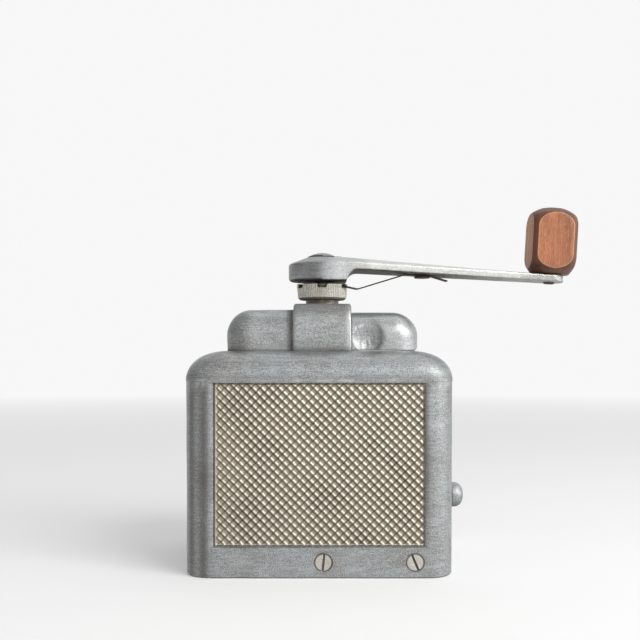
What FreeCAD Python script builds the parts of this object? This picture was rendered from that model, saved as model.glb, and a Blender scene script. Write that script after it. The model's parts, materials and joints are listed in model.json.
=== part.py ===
"""Hand-cranked coffee mill: a cast box with a hopper hood, a drawer and a crank.

Millimetres, +Z up. The origin lies on the floor under the spindle's axis, a little to the right of
the box's middle. The patterned front looks along -Y, and the drawer and the crank's rest position
point along +X.
"""
import FreeCAD, Part

import math
import os

import Sketcher

os.makedirs("parts", exist_ok=True)
doc = FreeCAD.newDocument("coffee_mill")
Vector = FreeCAD.Vector

# Driving dimensions, in millimetres and degrees

SIZES = (
    # box
    ("body_width", 110.8),
    ("body_depth", 80.0),
    ("spindle_off_middle", 1.3),
    ("body_height", 92.2),
    ("corner_radius", 9.5),
    ("shoulder_roll", 12.5),
    ("lip_step", 0.35),
    ("side_draft", 0.2),
    ("foot_bevel", 0.5),
    ("foot_bevel_tall", 0.8),
    ("cavity_corner", 6.5),
    ("shoulder_corner_share", 0.4),
    ("wall", 4.0),
    ("seat_gap", 0.1),
    ("running_gap", 0.05),
    ("moving_gap", 0.3),
    ("cut_over", 1.0),
    ("tap_margin", 1.0),
    # patterned panels
    ("panel_width", 85.8),
    ("panel_tall", 66.0),
    ("panel_bottom", 13.1),
    ("panel_thickness", 1.4),
    ("panel_recess", 0.8),
    ("panel_bevel", 1.5),
    ("panel_foot_bevel", 0.6),
    # base plate and drawer rails
    ("base_thickness", 1.5),
    ("base_inset", 1.8),
    ("rail_web_top", 13.0),
    ("rail_shelf", 6.0),
    ("rail_screw_first", 0.4),
    ("rail_screw_spacing", 37.2),
    ("rail_screw_level", 6.5),
    ("machine_screw_radius", 2.0),
    ("countersunk_radius", 3.7),
    ("countersink_depth", 1.9),
    ("screw_slot", 0.9),
    ("screw_slot_depth", 0.8),
    ("first_slot_angle", 84.0),
    ("second_slot_angle", 113.0),
    ("screw_head_share", 1.8),
    ("screw_head_tall_share", 1.2),
    ("base_screw_x", 28.0),
    ("base_screw_reach", 9.0),
    # drawer
    ("drawer_width", 55.0),
    ("drawer_floor_level", 6.0),
    ("drawer_front_tall", 44.4),
    ("drawer_front_thickness", 5.0),
    ("drawer_length", 84.0),
    ("drawer_side_tall", 38.0),
    ("drawer_sheet", 1.0),
    ("drawer_corner", 3.0),
    ("drawer_mouth_gap", 0.4),
    ("tray_side_gap", 0.5),
    ("rivet_radius", 1.6),
    ("rivet_side", 18.0),
    ("rivet_edge", 8.0),
    ("rivet_reach", 3.5),
    ("drawer_knob_radius", 5.45),
    ("drawer_knob_reach", 9.9),
    ("drawer_knob_neck", 2.9),
    ("drawer_knob_head", 5.6),
    ("drawer_knob_flare", 1.0),
    ("drawer_knob_edge", 0.7),
    ("drawer_knob_crown", 1.6),
    # hopper
    ("hopper_set_in_x", 6.7),
    ("hopper_set_in_y", 6.5),
    ("hopper_mouth_corner", 9.0),
    ("funnel_sheet", 1.2),
    ("funnel_throat", 32.0),
    ("funnel_throat_corner", 12.0),
    ("funnel_tall", 13.0),
    # hood
    ("hood_length", 81.8),
    ("hood_set_back", 14.5),
    ("left_cover_tall", 17.7),
    ("lid_tall", 16.5),
    ("hood_corner", 8.5),
    ("hood_wall", 3.4),
    ("hood_seam", 0.2),
    ("bridge_width", 24.5),
    ("bridge_proud", 3.0),
    ("bridge_tall", 20.1),
    ("bridge_leg", 6.5),
    ("bridge_crown", 8.1),
    ("bridge_edge", 3.0),
    ("bridge_throat", 6.0),
    ("bridge_tap", 9.5),
    ("bridge_side_edge", 1.0),
    ("scallop_radius", 10.0),
    ("scallop_sink", 2.2),
    ("scallop_from_bridge", 6.7),
    ("scallop_top", 15.8),
    ("hinge_knuckle", 2.7),
    ("hinge_pin_radius", 1.2),
    ("hinge_lug_length", 14.0),
    ("hinge_barrel_length", 32.0),
    ("hinge_pin_length", 29.0),
    ("cover_boss_wall", 1.6),
    ("cover_boss_tall", 8.6),
    ("cover_boss_side", 2.4),
    # milling works
    ("pillar_x", 30.0),
    ("pillar_set_in", 7.5),
    ("pillar_radius", 5.0),
    ("frame_plate", 3.5),
    ("frame_margin", 5.5),
    ("frame_barrel_tall", 20.0),
    ("ring_radius", 20.0),
    ("ring_tall", 15.0),
    ("barrel_wall", 4.0),
    ("barrel_ledge", 2.4),
    ("ledge_tall", 3.0),
    ("cone_top_radius", 9.5),
    ("cone_bottom_radius", 16.5),
    ("burr_gap", 0.66),
    ("burr_over", 5.0),
    ("burr_under", 1.0),
    ("burr_neck", 3.0),
    ("burr_teeth", 12.0),
    ("tooth_depth", 1.6),
    ("tooth_width", 3.0),
    ("tooth_twist_angle", 28.0),
    ("bearing_bar_width", 11.0),
    ("bearing_bar_thickness", 4.0),
    ("bearing_hub_radius", 7.0),
    ("bearing_tap", 3.5),
    ("small_screw_radius", 1.5),
    # spindle group
    ("spindle_radius", 4.0),
    ("spindle_foot", 49.5),
    ("spindle_square", 6.0),
    ("spindle_flat", 3.3),
    ("spindle_edge", 0.5),
    ("bush_radius", 6.5),
    ("bush_below", 1.0),
    ("bush_flange", 1.5),
    ("washer_radius", 7.3),
    ("washer_tall", 2.4),
    ("nut_radius", 11.4),
    ("nut_taper", 0.9),
    ("nut_edge", 0.35),
    ("nut_foot_radius", 8.8),
    ("nut_tall", 7.0),
    ("nut_chamfer", 1.2),
    ("notch_count", 6.0),
    ("notch_top", 5.0),
    ("notch_bottom", 3.6),
    ("notch_depth", 1.8),
    ("notch_root", 6.3),
    ("spring_mean_radius", 6.2),
    ("spring_wire", 1.2),
    ("spring_turns", 6.0),
    ("spring_room", 18.0),
    ("spring_washer_radius", 7.8),
    ("spring_washer_thickness", 1.4),
    ("cross_pin_radius", 1.0),
    ("cross_pin_length", 13.0),
    # crank
    ("hub_radius", 15.0),
    ("hub_lift", 1.1),
    ("hub_side", 7.7),
    ("hub_crown", 3.3),
    ("hub_edge", 1.4),
    ("crank_reach", 101.4),
    ("arm_end_radius", 7.6),
    ("arm_droop_angle", 3.3),
    ("arm_rise", 5.7),
    ("arm_side", 2.9),
    ("arm_ridge", 2.9),
    ("arm_ridge_loss_share", 0.93),
    ("arm_root", 1.0),
    ("arm_shoulder", 11.0),
    ("arm_blend", 0.15),
    ("arm_hollow_from", 10.8),
    ("arm_underside_hollow", 5.0),
    ("crank_screw_head", 6.4),
    ("crank_screw_dome", 2.0),
    ("crank_screw_shank", 2.0),
    ("crank_screw_length", 9.0),
    ("crank_clamp_gap", 0.5),
    # lock spring
    ("strip_width", 3.0),
    ("strip_thickness", 0.6),
    ("strip_rivet_x", 44.6),
    ("strip_tab", 4.0),
    ("strip_hook", 11.4),
    ("strip_hook_drop", 1.6),
    ("strip_lift_off", 7.8),
    ("strip_knee", 27.0),
    ("strip_knee_drop", 7.4),
    ("strip_tip", 34.5),
    ("strip_turn_angle", 9.6),
    ("strip_rivet_radius", 0.9),
    ("strip_rivet_reach", 1.6),
    # handle knob
    ("knob_flats", 19.9),
    ("knob_tall", 29.2),
    ("knob_edge", 1.8),
    ("knob_girth", 13.1),
    ("knob_foot_radius", 8.3),
    ("knob_cone_tall", 6.8),
    ("knob_top_radius", 5.2),
    ("knob_dome_tall", 5.9),
    ("knob_dome_bend", 16.0),
    ("knob_land_depth", 0.4),
    ("knob_land_margin", 1.0),
    ("knob_play", 0.2),
    ("knob_washer_radius", 5.5),
    ("knob_washer_thickness", 0.4),
    ("knob_pin_radius", 2.5),
    ("knob_pin_head", 4.2),
    ("knob_pin_head_tall", 1.8),
    ("knob_pin_head_gap", 0.4),
    ("rivet_head_radius", 3.6),
    ("rivet_head_tall", 1.2),
    ("rivet_head_edge", 0.5),
)

sheet = doc.addObject("Spreadsheet::Sheet", "sizes")
for row, (alias, value) in enumerate(SIZES, 1):
    sheet.set(f"A{row}", alias)
    sheet.set(f"B{row}", str(value))
    sheet.setAlias(f"B{row}", alias)
doc.recompute()


class Size(float):
    """A number that carries the sheet formula it came from."""

    def __new__(cls, value, formula):
        size = super().__new__(cls, value)
        size.formula = formula
        return size

    def __add__(self, other):
        return Size(float(self) + float(other), f"({self.formula} + {formula_of(other)})")

    def __radd__(self, other):
        return Size(float(other) + float(self), f"({formula_of(other)} + {self.formula})")

    def __sub__(self, other):
        return Size(float(self) - float(other), f"({self.formula} - {formula_of(other)})")

    def __rsub__(self, other):
        return Size(float(other) - float(self), f"({formula_of(other)} - {self.formula})")

    def __mul__(self, other):
        return Size(float(self) * float(other), f"({self.formula} * {formula_of(other)})")

    __rmul__ = __mul__

    def __truediv__(self, other):
        return Size(float(self) / float(other), f"({self.formula} / {formula_of(other)})")

    def __neg__(self):
        return Size(-float(self), f"(0 - {self.formula})")


def formula_of(number):
    """The formula of a Size, or the number itself."""
    return number.formula if isinstance(number, Size) else repr(float(number))


def cosine(angle):
    return Size(math.cos(math.radians(angle)), f"cos({formula_of(angle)})")


def tangent(angle):
    return Size(math.tan(math.radians(angle)), f"tan({formula_of(angle)})")


def root(number):
    return Size(math.sqrt(number), f"sqrt({formula_of(number)})")


class Sheet:
    """Reads each alias of the sheet as a Size."""

    def __getattr__(self, alias):
        return Size(sheet.get(alias), f"sizes.{alias}")


s = Sheet()
nodes = []


# Helpers that bind features to the sheet


def close(first, second):
    """Tells whether two lengths are the same for picking edges and faces."""
    return abs(first - second) < 1e-4


def bind(thing, path, size):
    """Sets one property of a feature to a formula of the sheet."""
    thing.setExpression(path, formula_of(size))


def new_body(name, keep=True):
    """A body; a kept one becomes the node of that name."""
    body = doc.addObject("PartDesign::Body", name)
    body.Label = name
    if keep:
        nodes.append(body)
    return body


def origin_item(body, role):
    return next(item for item in body.Origin.OriginFeatures if item.Role == role)


def new_sketch(body, role="XY_Plane", offset=0.0, turn=0.0, shift=(0.0, 0.0)):
    """A sketch on one of the body's own origin planes, moved along its normal and turned in it."""
    sketch = body.newObject("Sketcher::SketchObject", body.Name + "_sketch")
    sketch.AttachmentSupport = [(origin_item(body, role), "")]
    sketch.MapMode = "FlatFace"
    bind(sketch, "AttachmentOffset.Base.x", shift[0])
    bind(sketch, "AttachmentOffset.Base.y", shift[1])
    bind(sketch, "AttachmentOffset.Base.z", offset)
    if turn:
        bind(sketch, "AttachmentOffset.Rotation.Angle", turn)
    return sketch


def pin_to(sketch, curve, point, corner, links):
    """Adds the two distances that hold a curve's end at a corner."""
    links.append(("DistanceX", curve, point, corner[0]))
    links.append(("DistanceY", curve, point, corner[1]))


def outline(sketch, corners):
    """Closes a chain through corners (x, y), or (x, y, bend) where an arc of radius |bend| arrives.

    A positive bend turns left along the chain, a negative one turns right. A half circle is held by
    its centre, any other arc by its radius.
    """
    links = []
    joins = []
    first_curve = len(sketch.Geometry)
    for number, corner in enumerate(corners):
        before = corners[number - 1]
        start = Vector(float(before[0]), float(before[1]), 0)
        end = Vector(float(corner[0]), float(corner[1]), 0)
        if len(corner) == 2:
            curve = sketch.addGeometry(Part.LineSegment(start, end))
            ends = (1, 2)
        else:
            bend = corner[2]
            chord = end - start
            left = Vector(-chord.y, chord.x, 0).normalize()
            rise = math.sqrt(max(float(bend) ** 2 - chord.Length**2 / 4, 0.0))
            side = 1.0 if bend > 0 else -1.0
            middle = (start + end) * 0.5 - left * side * (abs(float(bend)) - rise)
            if bend > 0:
                curve = sketch.addGeometry(Part.Arc(start, middle, end))
                ends = (1, 2)
            else:
                curve = sketch.addGeometry(Part.Arc(end, middle, start))
                ends = (2, 1)
            if rise > 1e-4:
                links.append(("Radius", curve, None, bend if bend > 0 else 0 - bend))
            elif abs(chord.x) > abs(chord.y):
                links.append(("DistanceY", curve, 3, (before[1] + corner[1]) / 2))
            else:
                links.append(("DistanceX", curve, 3, (before[0] + corner[0]) / 2))
        pin_to(sketch, curve, ends[1], corner, links)
        joins.append((curve, ends))
    constraints = [
        Sketcher.Constraint("Coincident", joins[i - 1][0], joins[i - 1][1][1], joins[i][0], joins[i][1][0])
        for i in range(len(joins))
    ]
    add_links(sketch, constraints, links)
    return first_curve


def add_links(sketch, constraints, links):
    """Adds plain constraints and then the dimensioned links, each bound to its formula."""
    dimensioned = []
    for kind, curve, point, size in links:
        if point is None:
            constraints.append(Sketcher.Constraint(kind, curve, float(size)))
        else:
            constraints.append(Sketcher.Constraint(kind, -1, 1, curve, point, float(size)))
        dimensioned.append((len(constraints) - 1, size))
    numbers = sketch.addConstraint(constraints)
    for place, size in dimensioned:
        if isinstance(size, Size):
            bind(sketch, f"Constraints[{numbers[place]}]", size)


def circle(sketch, radius, x=0.0, y=0.0):
    centre = Vector(float(x), float(y), 0)
    curve = sketch.addGeometry(Part.Circle(centre, Vector(0, 0, 1), float(radius)))
    links = [("Radius", curve, None, radius)]
    pin_to(sketch, curve, 3, (x, y), links)
    add_links(sketch, [], links)


def block(sketch, left, bottom, right, top):
    outline(sketch, [(left, bottom), (right, bottom), (right, top), (left, top)])


def rounded(sketch, half_x, half_y, radius, x=0.0, y=0.0):
    """A rounded rectangle about (x, y)."""
    near_x = half_x - radius
    near_y = half_y - radius
    outline(sketch, [
        (x + near_x, y - half_y),
        (x + half_x, y - near_y, radius),
        (x + half_x, y + near_y),
        (x + near_x, y + half_y, radius),
        (x - near_x, y + half_y),
        (x - half_x, y + near_y, radius),
        (x - half_x, y - near_y),
        (x - near_x, y - half_y, radius),
    ])


def settle(feature):
    """Recomputes and stops on a feature that failed."""
    doc.recompute()
    if "Invalid" in feature.State or "Error" in feature.State or feature.Shape.isNull():
        raise RuntimeError(f"{feature.Label} failed: {feature.State} {feature.getStatusString()}")
    return feature


def extrude(body, kind, sketch, length, symmetric=False, reverse=False):
    feature = body.newObject("PartDesign::" + kind, body.Name + "_" + kind.lower())
    feature.Profile = sketch
    bind(feature, "Length", length)
    feature.SideType = "Symmetric" if symmetric else "One side"
    feature.Reversed = reverse
    return settle(feature)


def pad(body, sketch, length, symmetric=False, reverse=False):
    return extrude(body, "Pad", sketch, length, symmetric, reverse)


def pocket(body, sketch, length, symmetric=False, reverse=False):
    """A pocket that must take material away."""
    before = body.Tip.Shape.Volume
    feature = extrude(body, "Pocket", sketch, length, symmetric, reverse)
    if feature.Shape.Volume > before - 1e-6:
        raise RuntimeError(f"{feature.Label} cut nothing")
    return feature


def spin(body, sketch, kind="Revolution"):
    """Turns a profile about its sketch's own vertical axis, to add (Revolution) or cut (Groove)."""
    feature = body.newObject("PartDesign::" + kind, body.Name + "_" + kind.lower())
    feature.Profile = sketch
    feature.ReferenceAxis = (sketch, ["V_Axis"])
    feature.Angle = 360
    return settle(feature)


def turned(name, corners, keep=True):
    """A turned body: the half profile (radius, height) spun about the Z axis of its own frame."""
    body = new_body(name, keep)
    sketch = new_sketch(body, "XZ_Plane")
    outline(sketch, corners)
    spin(body, sketch)
    return body


def loft(body, sketches, cut=False, ruled=False):
    kind = "SubtractiveLoft" if cut else "AdditiveLoft"
    before = body.Tip.Shape.Volume if cut else 0.0
    feature = body.newObject("PartDesign::" + kind, body.Name + "_loft")
    feature.Profile = sketches[0]
    feature.Sections = sketches[1:]
    feature.Ruled = ruled
    settle(feature)
    if cut and feature.Shape.Volume > before - 1e-6:
        raise RuntimeError(f"{feature.Label} cut nothing")
    return feature


def fillet(body, radius, test):
    feature = body.newObject("PartDesign::Fillet", body.Name + "_fillet")
    previous = feature.BaseFeature
    edges = [f"Edge{i + 1}" for i, edge in enumerate(previous.Shape.Edges) if test(edge)]
    if not edges:
        raise RuntimeError(f"{body.Label}: no edge to round")
    feature.Base = (previous, edges)
    bind(feature, "Radius", radius)
    return settle(feature)


def around(body, feature, count):
    """Repeats a feature evenly about the body's Z axis."""
    pattern = body.newObject("PartDesign::PolarPattern", body.Name + "_around")
    pattern.Originals = [feature]
    pattern.Axis = (origin_item(body, "Z_Axis"), [""])
    pattern.Angle = 360
    bind(pattern, "Occurrences", count)
    body.Tip = pattern
    return settle(pattern)


def put(thing, base, axis=None, angle=0.0):
    """Places a piece, each coordinate bound to its formula."""
    for letter, size in zip("xyz", base):
        bind(thing, f"Placement.Base.{letter}", size)
    if axis is not None:
        thing.Placement.Rotation = FreeCAD.Rotation(Vector(*axis), float(angle))
        bind(thing, "Placement.Rotation.Angle", angle)
    doc.recompute()


def boolean(kind, name, first, second, keep=True):
    """Part boolean of two bodies."""
    result = doc.addObject("Part::" + kind, name)
    result.Label = name
    result.Base = first
    result.Tool = second
    if keep:
        nodes.append(result)
    return settle(result)


# Levels and places that several pieces share

half_width = s.body_width / 2
middle_x = 0 - s.spindle_off_middle
half_depth = s.body_depth / 2
side_half_depth = half_depth - s.lip_step
side_half_width = half_width - s.lip_step
lip_level = s.body_height - s.shoulder_roll
ceiling = s.body_height - s.wall
cavity_half_width = half_width - s.wall
cavity_half_depth = half_depth - s.wall
pillar_y = cavity_half_depth - s.pillar_set_in
drawer_half = s.drawer_width / 2
drawer_middle = s.drawer_floor_level + s.drawer_front_tall / 2
mouth_half = drawer_half + s.drawer_mouth_gap
mouth_bottom = s.drawer_floor_level - s.drawer_mouth_gap
mouth_top = s.drawer_floor_level + s.drawer_front_tall + s.drawer_mouth_gap
funnel_foot = ceiling - s.funnel_tall
frame_under = funnel_foot - s.frame_plate
barrel_foot = funnel_foot - s.frame_barrel_tall
ring_foot = barrel_foot + s.ledge_tall
ring_top = ring_foot + s.ring_tall
cone_slope = (s.cone_bottom_radius - s.cone_top_radius) / s.ring_tall
bearing_foot = barrel_foot - s.bearing_bar_thickness
hood_half = s.hood_length / 2
hood_half_depth = half_depth - s.hood_set_back
hopper_half_length = hood_half - s.hopper_set_in_x
hopper_half_depth = hood_half_depth - s.hopper_set_in_y
bridge_half = s.bridge_width / 2
bridge_half_depth = hood_half_depth + s.bridge_proud
bridge_top = s.body_height + s.bridge_tall
bridge_under = bridge_top - s.bridge_crown
shell_inner_x = bridge_half + s.moving_gap
hinge_x = hood_half - s.hinge_knuckle
hinge_level = s.body_height + s.hinge_knuckle + s.moving_gap
washer_foot = bridge_top + s.seat_gap
nut_foot = washer_foot + s.washer_tall + s.seat_gap
nut_top = nut_foot + s.nut_tall
hub_foot = nut_top + s.hub_lift
hub_side_top = hub_foot + s.hub_side
hub_top = hub_side_top + s.hub_crown
droop = tangent(s.arm_droop_angle)


def arm_underside(x):
    """Height of the arm's underside on its centre line, which falls outwards."""
    return hub_foot + s.arm_rise - x * droop


def arm_ridge(x):
    """Height of the arm's crown above its sides, which fades outwards."""
    share = (x - s.arm_shoulder) / (arm_end_x - s.arm_shoulder)
    return s.arm_ridge * (1.0 - s.arm_ridge_loss_share * share)


arm_end_x = s.crank_reach + s.arm_end_radius
cover_screw_x = s.hood_wall + s.cover_boss_side - hood_half
cover_screw_y = hood_half_depth - s.hood_wall - s.cover_boss_side
rail_outer = cavity_half_depth - s.seat_gap
rail_inner = drawer_half + s.moving_gap
rail_half = cavity_half_width - s.cavity_corner
rail_middle = (rail_outer + rail_inner) / 2
rail_screw_reach = rail_outer - rail_inner - s.tap_margin
barrel_radius = s.ring_radius + s.running_gap + s.barrel_wall
bearing_screw_x = barrel_radius - (s.barrel_wall + s.barrel_ledge) / 2
leg_middle = bridge_half_depth - s.bridge_leg / 2
drawer_face_x = middle_x + side_half_width - s.side_draft - s.running_gap
drawer_back_x = drawer_face_x - s.drawer_front_thickness
spring_top = bridge_under - s.bush_below
spring_foot = spring_top - s.spring_room
spring_pin_level = spring_foot - s.spring_washer_thickness - s.cross_pin_radius
burr_top = ring_top + s.burr_over
burr_pin_level = burr_top + s.burr_neck / 2
spindle_top = hub_top - s.crank_clamp_gap
knob_land_z = arm_underside(s.crank_reach) + s.arm_side + arm_ridge(s.crank_reach) - s.knob_land_depth
knob_tilt_base = (s.crank_reach, 0.0, knob_land_z)
head_share = s.countersunk_radius / s.machine_screw_radius
sink_share = s.countersink_depth / s.machine_screw_radius
both_ways = (-1, 1)
corners_of_four = [(x, y) for x in both_ways for y in both_ways]


# Cast box

SHOULDER_STEPS = 6


def shoulder_sections(body, inset, roll, corner, foot_level, cut):
    """The rolled shoulder, lofted through rounded rectangles that shrink along a quarter circle."""
    sketches = []
    for step in range(SHOULDER_STEPS + 1):
        angle = math.pi / 2 * step / SHOULDER_STEPS
        shrink = inset + roll * (1 - math.cos(angle))
        level = foot_level + roll * math.sin(angle)
        radius = corner - roll * (1 - math.cos(angle)) * s.shoulder_corner_share
        sketch = new_sketch(body, "XY_Plane", level)
        rounded(sketch, half_width - shrink, half_depth - shrink, radius, middle_x)
        sketches.append(sketch)
    return loft(body, sketches, cut)


def make_body_shell():
    body = new_body("body_shell")
    # sides, slightly narrower at the foot, with a step under the shoulder's lip
    sides = []
    for level, inset_x, inset_y in (
        (0.0, s.side_draft + s.foot_bevel, s.foot_bevel),
        (s.foot_bevel_tall, s.side_draft, 0.0),
        (lip_level, 0.0, 0.0),
    ):
        sketch = new_sketch(body, "XY_Plane", level)
        rounded(sketch, side_half_width - inset_x, side_half_depth - inset_y, s.corner_radius, middle_x)
        sides.append(sketch)
    loft(body, sides, ruled=True)
    shoulder_sections(body, 0.0, s.shoulder_roll, s.corner_radius, lip_level, False)
    # cavity, open at the foot
    hollow = new_sketch(body)
    inner_roll = s.shoulder_roll - s.wall
    rounded(hollow, cavity_half_width, cavity_half_depth, s.cavity_corner, middle_x)
    pocket(body, hollow, ceiling - inner_roll, reverse=True)
    shoulder_sections(body, s.wall, inner_roll, s.cavity_corner, ceiling - inner_roll, True)
    # rebate for the base plate
    rebate = new_sketch(body)
    rounded(
        rebate, half_width - s.base_inset, half_depth - s.base_inset, s.corner_radius - s.base_inset, middle_x
    )
    pocket(body, rebate, s.base_thickness, reverse=True)
    # panel recesses with a bevelled frame, front and back
    for face in both_ways:
        faces = []
        opening_share = (s.panel_recess + s.cut_over) / s.panel_recess
        for depth, share in ((0 - s.cut_over, opening_share), (s.panel_recess, 0.0)):
            sketch = new_sketch(body, "XZ_Plane", (side_half_depth - depth) * -face)
            side = s.panel_width / 2 + s.seat_gap + s.panel_bevel * share
            block(
                sketch,
                middle_x - side,
                s.panel_bottom - s.seat_gap - s.panel_foot_bevel * share,
                middle_x + side,
                s.panel_bottom + s.panel_tall + s.seat_gap,
            )
            faces.append(sketch)
        loft(body, faces, cut=True, ruled=True)
        seat = new_sketch(body, "XZ_Plane", side_half_depth * -face)
        block(
            seat,
            middle_x - s.panel_width / 2 - s.seat_gap,
            s.panel_bottom - s.seat_gap,
            middle_x + s.panel_width / 2 + s.seat_gap,
            s.panel_bottom + s.panel_tall + s.seat_gap,
        )
        pocket(body, seat, s.panel_recess + s.panel_thickness, reverse=face > 0)
    # drawer mouth through the right side
    mouth = new_sketch(body, "YZ_Plane", middle_x + cavity_half_width - s.wall)
    rounded(
        mouth, mouth_half, (mouth_top - mouth_bottom) / 2, s.drawer_corner, 0.0, (mouth_top + mouth_bottom) / 2
    )
    pocket(body, mouth, s.wall * 2 + s.cut_over, reverse=True)
    # hopper mouth through the top
    hopper = new_sketch(body, "XY_Plane", s.body_height)
    rounded(hopper, hopper_half_length, hopper_half_depth, s.hopper_mouth_corner)
    pocket(body, hopper, s.wall + s.cut_over)
    # four pillars that carry the mill frame
    pillar = new_sketch(body, "XY_Plane", ceiling + s.wall / 2)
    holes = new_sketch(body, "XY_Plane", funnel_foot)
    for side, face in corners_of_four:
        circle(pillar, s.pillar_radius, s.pillar_x * side, pillar_y * face)
        circle(holes, s.machine_screw_radius, s.pillar_x * side, pillar_y * face)
    pad(body, pillar, s.funnel_tall + s.wall / 2, reverse=True)
    pocket(body, holes, s.funnel_tall - s.tap_margin, reverse=True)
    # screw holes under the bridge's feet and the left cover
    feet = new_sketch(body, "XY_Plane", s.body_height)
    for face in both_ways:
        circle(feet, s.machine_screw_radius + s.running_gap, 0.0, leg_middle * face)
        circle(feet, s.small_screw_radius + s.running_gap, cover_screw_x, cover_screw_y * face)
    pocket(body, feet, s.wall + s.cut_over)
    # room for the heads of the bridge's screws where the ceiling rolls down
    room = new_sketch(body, "XY_Plane", ceiling)
    for face in both_ways:
        circle(room, s.machine_screw_radius * s.screw_head_share + s.seat_gap, 0.0, leg_middle * face)
    pocket(body, room, inner_roll)
    # hinge lug of the lid
    web = new_sketch(body, "XZ_Plane")
    lug = s.hinge_knuckle - s.moving_gap
    outline(web, [
        (hinge_x - lug, s.body_height - s.cut_over),
        (hinge_x + lug, s.body_height - s.cut_over),
        (hinge_x + lug, hinge_level),
        (hinge_x - lug, hinge_level, lug),
    ])
    pad(body, web, s.hinge_lug_length, symmetric=True)
    bore = new_sketch(body, "XZ_Plane")
    circle(bore, s.hinge_pin_radius, hinge_x, hinge_level)
    pocket(body, bore, s.hinge_lug_length + s.cut_over, symmetric=True)
    # countersunk holes of the rail screws, front and back
    for face in both_ways:
        for number in range(2):
            x = s.rail_screw_first + s.rail_screw_spacing * number
            shank = new_sketch(body, "XZ_Plane", side_half_depth * -face)
            circle(shank, s.machine_screw_radius + s.running_gap, x, s.rail_screw_level)
            pocket(body, shank, s.wall + s.cut_over, reverse=face > 0)
            head = new_sketch(body, "XZ_Plane", side_half_depth * -face)
            circle(head, s.countersunk_radius + s.seat_gap, x, s.rail_screw_level)
            neck = new_sketch(body, "XZ_Plane", (side_half_depth - s.countersink_depth) * -face)
            circle(neck, s.machine_screw_radius + s.running_gap, x, s.rail_screw_level)
            loft(body, [head, neck], cut=True)


# Inserts, base and drawer rails


def make_panel(name, face):
    """The insert of one large face. Its fine ridges are a finish on the outer side."""
    body = new_body(name)
    outer = new_sketch(body, "XZ_Plane", (side_half_depth - s.panel_recess) * -face)
    block(
        outer, middle_x - s.panel_width / 2, s.panel_bottom, middle_x + s.panel_width / 2,
        s.panel_bottom + s.panel_tall,
    )
    pad(body, outer, s.panel_thickness, reverse=face < 0)


def countersunk_screws(name, radius, length, places):
    """Slotted countersunk screws at places (x, y, turn of the slot).

    Their flat tops lie at height 0 and their shanks point down.
    """
    body = new_body(name)
    head = radius * head_share
    for x, y, slot_turn in places:
        profile = new_sketch(body, "XZ_Plane", 0 - y, shift=(x, 0.0))
        outline(profile, [
            (0.0, 0.0), (head, 0.0), (radius, 0 - radius * sink_share), (radius, 0 - length),
            (0.0, 0 - length),
        ])
        spin(body, profile)
        slot = new_sketch(body, "XY_Plane", turn=slot_turn, shift=(x, y))
        block(slot, 0 - head - s.cut_over, 0 - s.screw_slot / 2, head + s.cut_over, s.screw_slot / 2)
        pocket(body, slot, s.screw_slot_depth)
    return body


def countersink(body, radius, x, y, level):
    """Conical seat of a countersunk screw in an underside, narrowing upwards."""
    wide = new_sketch(body, "XY_Plane", level)
    circle(wide, radius * head_share, x, y)
    narrow = new_sketch(body, "XY_Plane", level + radius * sink_share)
    circle(narrow, radius + s.running_gap, x, y)
    loft(body, [wide, narrow], cut=True)


def make_base():
    body = new_body("base_plate")
    plan = new_sketch(body)
    inset = s.base_inset + s.seat_gap
    rounded(plan, half_width - inset, half_depth - inset, s.corner_radius - s.base_inset, middle_x)
    pad(body, plan, s.base_thickness)
    holes = new_sketch(body)
    places = []
    for side, face in corners_of_four:
        x = s.base_screw_x * side
        y = rail_middle * face
        circle(holes, s.small_screw_radius + s.running_gap, x, y)
        places.append((x, y, s.second_slot_angle * side))
    pocket(body, holes, s.base_thickness, reverse=True)
    for x, y, _ in places:
        countersink(body, s.small_screw_radius, x, y, 0.0)
    screws = countersunk_screws("base_screws", s.small_screw_radius, s.base_screw_reach, places)
    put(screws, (0.0, 0.0, 0.0), (1, 0, 0), 180.0)


def make_rail(name, face):
    """Angle rail: a web against the wall and a shelf under the drawer's edge."""
    body = new_body(name)
    profile = new_sketch(body, "YZ_Plane", middle_x - rail_half)
    outer = rail_outer * face
    inner = rail_inner * face
    lip = (rail_inner - s.rail_shelf) * face
    shelf_top = s.drawer_floor_level - s.moving_gap
    outline(profile, [
        (outer, s.base_thickness), (lip, s.base_thickness), (lip, shelf_top),
        (inner, shelf_top), (inner, s.rail_web_top), (outer, s.rail_web_top),
    ])
    pad(body, profile, rail_half * 2)
    tapped = new_sketch(body, "XZ_Plane", 0 - rail_outer * face)
    circle(tapped, s.machine_screw_radius, s.rail_screw_first, s.rail_screw_level)
    circle(tapped, s.machine_screw_radius, s.rail_screw_first + s.rail_screw_spacing, s.rail_screw_level)
    pocket(body, tapped, rail_screw_reach, reverse=face > 0)
    foot = new_sketch(body, "XY_Plane", s.base_thickness)
    circle(foot, s.small_screw_radius, s.base_screw_x, rail_middle * face)
    circle(foot, s.small_screw_radius, 0 - s.base_screw_x, rail_middle * face)
    pocket(body, foot, s.base_screw_reach - s.base_thickness, reverse=True)


def make_rail_screws(name, face):
    """Two screws from outside into a rail; their heads lie flush with the wall."""
    wall_here = s.wall - s.lip_step
    screws = countersunk_screws(
        name, s.machine_screw_radius, wall_here + rail_screw_reach - s.moving_gap,
        [
            (s.rail_screw_first, 0.0, s.first_slot_angle),
            (s.rail_screw_first + s.rail_screw_spacing, 0.0, s.second_slot_angle),
        ],
    )
    put(screws, (0.0, side_half_depth * face, s.rail_screw_level), (1, 0, 0), -90.0 * face)


# Hopper and milling works


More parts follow.
